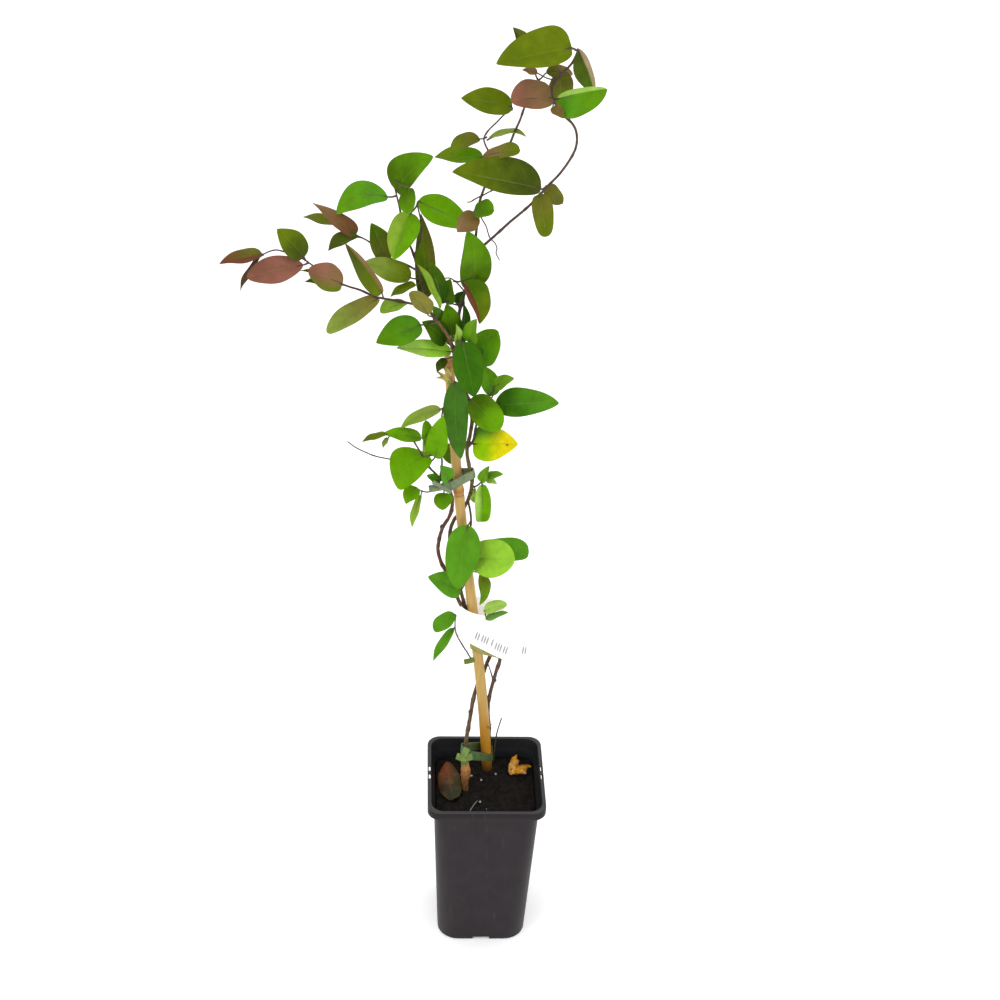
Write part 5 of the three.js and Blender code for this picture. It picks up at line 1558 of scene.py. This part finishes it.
def soil_top(x, y, rim):
    """The height of the soil's top: low waves, lumps and crumbs, and calm at the wall."""
    low = 1.2 * np.sin(x * 0.17 + 1) * np.cos(y * 0.21)
    lumps = 1.0 * noise.noise((x * 0.13, y * 0.13, 0.3)) + 0.8 * noise.noise((x * 0.45, y * 0.45, 4.0))
    away = np.hypot(x - CANE_FOOT[0], y - CANE_FOOT[1])
    heap = HEAP_HEIGHT * np.exp(-(away / HEAP_REACH) ** 2)
    return SOIL_HEIGHT + (low + lumps) * rim - 0.6 * (1 - rim) + heap


gap = 0.35
less = 2 * WALL + 2 * gap + 0.5
rings = [around_square(body_width(z) - less - inset, corner_at(z), z)
         for z, inset in ((FLOOR + gap, 1), (80, 0), (SOIL_HEIGHT - 2, 0))]
top_width, top_corner = body_width(SOIL_HEIGHT) - less, corner_at(SOIL_HEIGHT) - 1
for share in np.linspace(1, 0.06, SOIL_RINGS):
    ring = around_square(top_width * share, top_corner * share, SOIL_HEIGHT)
    for p in ring:
        p[2] = soil_top(p[0], p[1], min(1.0, (1 - share) * 8))
    rings.append(ring)
soil = piece("soil_mass", smoothly(lofted(rings), COMPOST))
stands_for(soil, "compost", "soil")

# %% The crumb machine


def crumb_machine():
    m = Machine("crumb_machine", {"Density": 9000.0, "Size": 1.6, "Longer": 1.5, "Sunk": 0.2,
                                  "Seed": 3, "Reach": 44.0, "Crumb": CRUMB})
    x, y, z = m.split(m.node("GeometryNodeInputPosition"))
    edge = m.function("MAXIMUM", m.absolute(x), m.absolute(y))
    on_top = m.above(z, (SOIL_HEIGHT - 4) * MM) * (1.0 - m.above(edge, m.size("Reach") * MM))
    values = {"Mesh": m.start, "Selection": on_top, "Density": m.size("Density"), "Seed": m.size("Seed")}
    points = m.node("GeometryNodeDistributePointsOnFaces", None, values)
    ball = m.node("GeometryNodeMeshIcoSphere", None, {"Radius": 0.5 * MM, "Subdivisions": 2})
    where = m.node("GeometryNodeInputPosition")

    def chance(low, high, kind="FLOAT", salt=0):
        ends = {"FLOAT": ("Min_001", "Max_001", 1), "FLOAT_VECTOR": ("Min", "Max", 0)}[kind]
        values = {ends[0]: low, ends[1]: high, "Seed": m.size("Seed") + salt}
        return m.node("FunctionNodeRandomValue", {"data_type": kind}, values, ends[2])

    size = m.size("Size") * chance(0.35, 1.0, salt=1) ** 1.6
    shape = chance((0.7, 0.6, 0.5), (1.3, 1.0, 0.9), "FLOAT_VECTOR", 2)
    stretch = m.joined(m.size("Longer"), 1.0, 1.0)
    turn = chance((-0.5, -0.5, 0.0), (0.5, 0.5, 6.28), "FLOAT_VECTOR", 3)
    scale = m.node("ShaderNodeVectorMath", {"operation": "MULTIPLY"}, {0: shape, 1: stretch}) * size
    values = {"Points": points, "Instance": ball, "Rotation": turn, "Scale": scale}
    crumbs = m.node("GeometryNodeInstanceOnPoints", None, values)
    crumbs = m.store(crumbs, "luck", chance(0.0, 1.0, salt=4), "FLOAT", "INSTANCE")
    crumbs = m.node("GeometryNodeRealizeInstances", None, {"Geometry": crumbs})
    lump = m.noise(where, 700.0, 3.0, 0.6)
    push = (lump - 0.5) * m.size("Size") * 0.9 * MM
    crumbs = m.moved(crumbs, offset=m.node("GeometryNodeInputNormal") * push)
    sunk = m.joined(0.0, 0.0, m.size("Sunk") * -MM)
    m.close(m.dressed(m.moved(crumbs, offset=sunk), m.size("Crumb")))
    return m


CRUMBS = crumb_machine()
for name, density, size, longer, sunk, seed, crumb in (
    ("soil_crumbs", 9000.0, 1.6, 1.5, 0.2, 3, CRUMB),
    ("soil_lumps", 1300.0, 4.6, 1.3, 0.6, 8, CRUMB),
    ("soil_bark", 900.0, 2.6, 2.6, 0.1, 5, BARK_BIT),
    ("soil_perlite", 500.0, 1.5, 1.1, -0.2, 21, PERLITE),
):
    crumbs = CRUMBS.run(name, soil.data.copy(), Density=density, Size=size, Longer=longer, Sunk=sunk,
                        Seed=seed, Crumb=crumb)
    stands_for(crumbs, "compost")

# %% [markdown]
# # What has fallen on the soil
# Two dry leaves lie on the compost, and a straw stands in it. The leaves come from the leaf machine with
# a stronger wave and a brittle finish, because they were leaves of this plant. The straw, a root and a
# few grains come from the twig machine. Three bits of dry sheath at the cane's top are small leaves too.

# %% Dry leaves


def dry_paint(tree):
    along, across, away, vein, rib = leaf_marks(tree)
    where = place_of(tree)
    drift, fine = tree.noise(where, 160.0, 4.0), tree.noise(where, 1100.0, 3.0)
    foot, tip = own(tree, "tone_foot", "Color"), own(tree, "tone_tip", "Color")
    colour = tree.blend(tree.smooth(along + (drift - 0.5) * 0.5, 0.1, 0.9), foot, tip)
    half = tree.smooth(across * own(tree, "side_share") + (drift - 0.5) * 0.9, -0.1, 0.7)
    colour = tree.blend(half, colour, own(tree, "tone_side", "Color"))
    colour = tree.wash(colour, drift, 0.5, 0.72, 0.6, own(tree, "tone_under", "Color"))
    colour = tree.wash(colour, fine, 0.5, 0.75, 0.35, tint(70, 46, 28))
    colour = tree.blend((vein + rib) * 0.1, colour, tint(150, 104, 62))
    colour = tree.wash(colour, away + (fine - 0.5) * 0.5, 0.72, 1.0, 0.5, tint(84, 56, 28))
    return surface(tree, colour, 0.6 + (fine - 0.5) * 0.3, fine + vein * 0.8 + drift, 0.0006, 0.7)


DRY_LEAF = finish("dry_leaf", dry_paint, Specular_IOR_Level=0.1)
DRY_FORM = {"bow": 4, "fold": -16, "wave": 1.6, "waves": 2, "base": 0.5, "point": 0.6}
CRUMPLED = {"bow": 3, "fold": -24, "wave": 2.2, "waves": 3, "twist": 30, "base": 0.4, "point": 0.7}
LITTER = {
    "left": [
        leaf(ground(453, 800, 158.9), ground(446, 762, 162.6), 23, 0, ("dry_green", "dry_red"),
             "dry_dark", 0.6, "dry_dust", **DRY_FORM)],
    "right": [
        leaf(ground(512, 775, 160), ground(516, 755, 165), 11, 0, ("dry_pale", "dry_orange"),
             "dry_brown", 0.5, "dry_brown", **CRUMPLED),
        leaf(ground(510, 772, 161), ground(531, 766, 163.5), 9, 0, "dry_orange",
             "dry_brown", -0.5, "dry_brown", **CRUMPLED),
        leaf(ground(512, 766, 162), ground(526, 774, 160.5), 8, 0, ("dry_orange", "dry_pale"),
             "dry_brown", 0.5, "dry_brown", **CRUMPLED)],
}
BRITTLE = {"Upper": DRY_LEAF, "Under": DRY_LEAF}
for name, blades in LITTER.items():
    dry = LEAVES.run(f"litter_{name}", leaf_points(blades), Thickness=0.8, Quilt=0.5, **BRITTLE)
    stands_for(dry, "dry_leaf", f"dry_leaf_{name}")

# %% Straw, a root and grains
straw_path = sunk_below([ground(493, 762, SOIL_HEIGHT), seen(496.5, 735, 38), seen(501.5, 718, 39)], 12)
straw = rod(straw_path, 1.5, 0.8, 0.6, "straw")
stands_for(TWIGS.run("straw_stalk", chain_mesh([straw]), Knobs=0.2), "straw", "straw")

root_path = [ground(470, 811, 158), ground(473, 806, 160.5), ground(477, 801, 158.4)]
nub_path = all_seen([(488, 728, 24), (490, 726, 21), (491.5, 724.5, 20)])
GRAIN_FORM = ((-0.9, 0.3), (-0.5, 0.85), (0, 1.0), (0.5, 0.8), (0.9, 0.3))
GRAINS = ((481.2, 780, 1.2), (495.6, 774, 1.1), (480, 802, 1.2), (471.5, 776, 1.4))
chains = [rod(root_path, 0.8, 0.4, 0.4, "root"), rod(nub_path, 0.8, 1.0, 0.5, "nub")]
for across, down, radius in GRAINS:
    middle = ground(across, down, SOIL_HEIGHT + 1.2)
    chains.append(lump_chain(middle, (1, 0, 0), GRAIN_FORM, radius, "grain"))
stands_for(TWIGS.run("root_and_grains", chain_mesh(chains), Knobs=0.3), "bark")

# %% Dry sheath at the cane's top
FADING, FLAT_FOLD = ("sheath", "sheath_tip"), 20
sheath = [
    leaf(seen(451, 385, 19), seen(436, 371, 14), 5, 20, FADING, under="sheath", fold=FLAT_FOLD),
    leaf(seen(450, 381, 19), seen(435, 378, 12), 4, 30, "sheath", under="sheath_tip", fold=24),
    leaf(seen(451, 376, 20), seen(441, 366, 17), 4, 20, FADING, under="sheath", fold=FLAT_FOLD),
]
stands_for(LEAVES.run("cane_sheath", leaf_points(sheath), Quilt=0.1, **BRITTLE), "dry_leaf")

# %% [markdown]
# # Floor, light and the end
# The photograph shows the plant on plain white, in soft light from the upper left. A wide pale floor, a
# bright even sky and two large lamps give that. The colours are shown as they are, so white stays white.

# %% Floor and lights
SKY_STRENGTH = 1.1


def floor_paint(tree):
    soft = tree.noise(place_of(tree), 3.0, 2.0)
    white = tree.blend(soft, tint(252, 252, 252), tint(254, 254, 254))
    return {"Base_Color": white, "Emission_Color": white, "Roughness": 0.7 + soft * 0.1}


FLOOR_REACH = 30.0
corners = [(x * FLOOR_REACH, y * FLOOR_REACH, 0) for x, y in ((-1, -1), (1, -1), (1, 1), (-1, 1))]
floor = piece("floor", bpy.data.meshes.new("floor"))
floor.data.from_pydata(corners, [], [(0, 1, 2, 3)])
floor.data.materials.append(finish("floor_white", floor_paint, Emission_Strength=0.2))

world = bpy.data.worlds.new("sky")
world.use_nodes = True
sky = world.node_tree.nodes["Background"]
sky.inputs["Color"].default_value = (1, 1, 1, 1)
sky.inputs["Strength"].default_value = SKY_STRENGTH
bpy.context.scene.world = world


def lamp(name, place, aim, size, power):
    data = bpy.data.lights.new(name, "AREA")
    data.shape, data.size, data.energy = "DISK", size, power
    made = piece(name, data)
    made.location = place
    made.rotation_euler = (Vector(aim) - Vector(place)).to_track_quat("-Z", "Y").to_euler()


PLANT_MIDDLE = (0, 0, 0.45)
lamp("key", (-1.6, -1.6, 2.6), PLANT_MIDDLE, 1.6, 16)
lamp("fill", (1.8, -0.9, 1.6), PLANT_MIDDLE, 1.8, 4)
view = bpy.context.scene.view_settings
view.view_transform, view.look, view.exposure, view.gamma = "Standard", "None", 0.0, 1.0
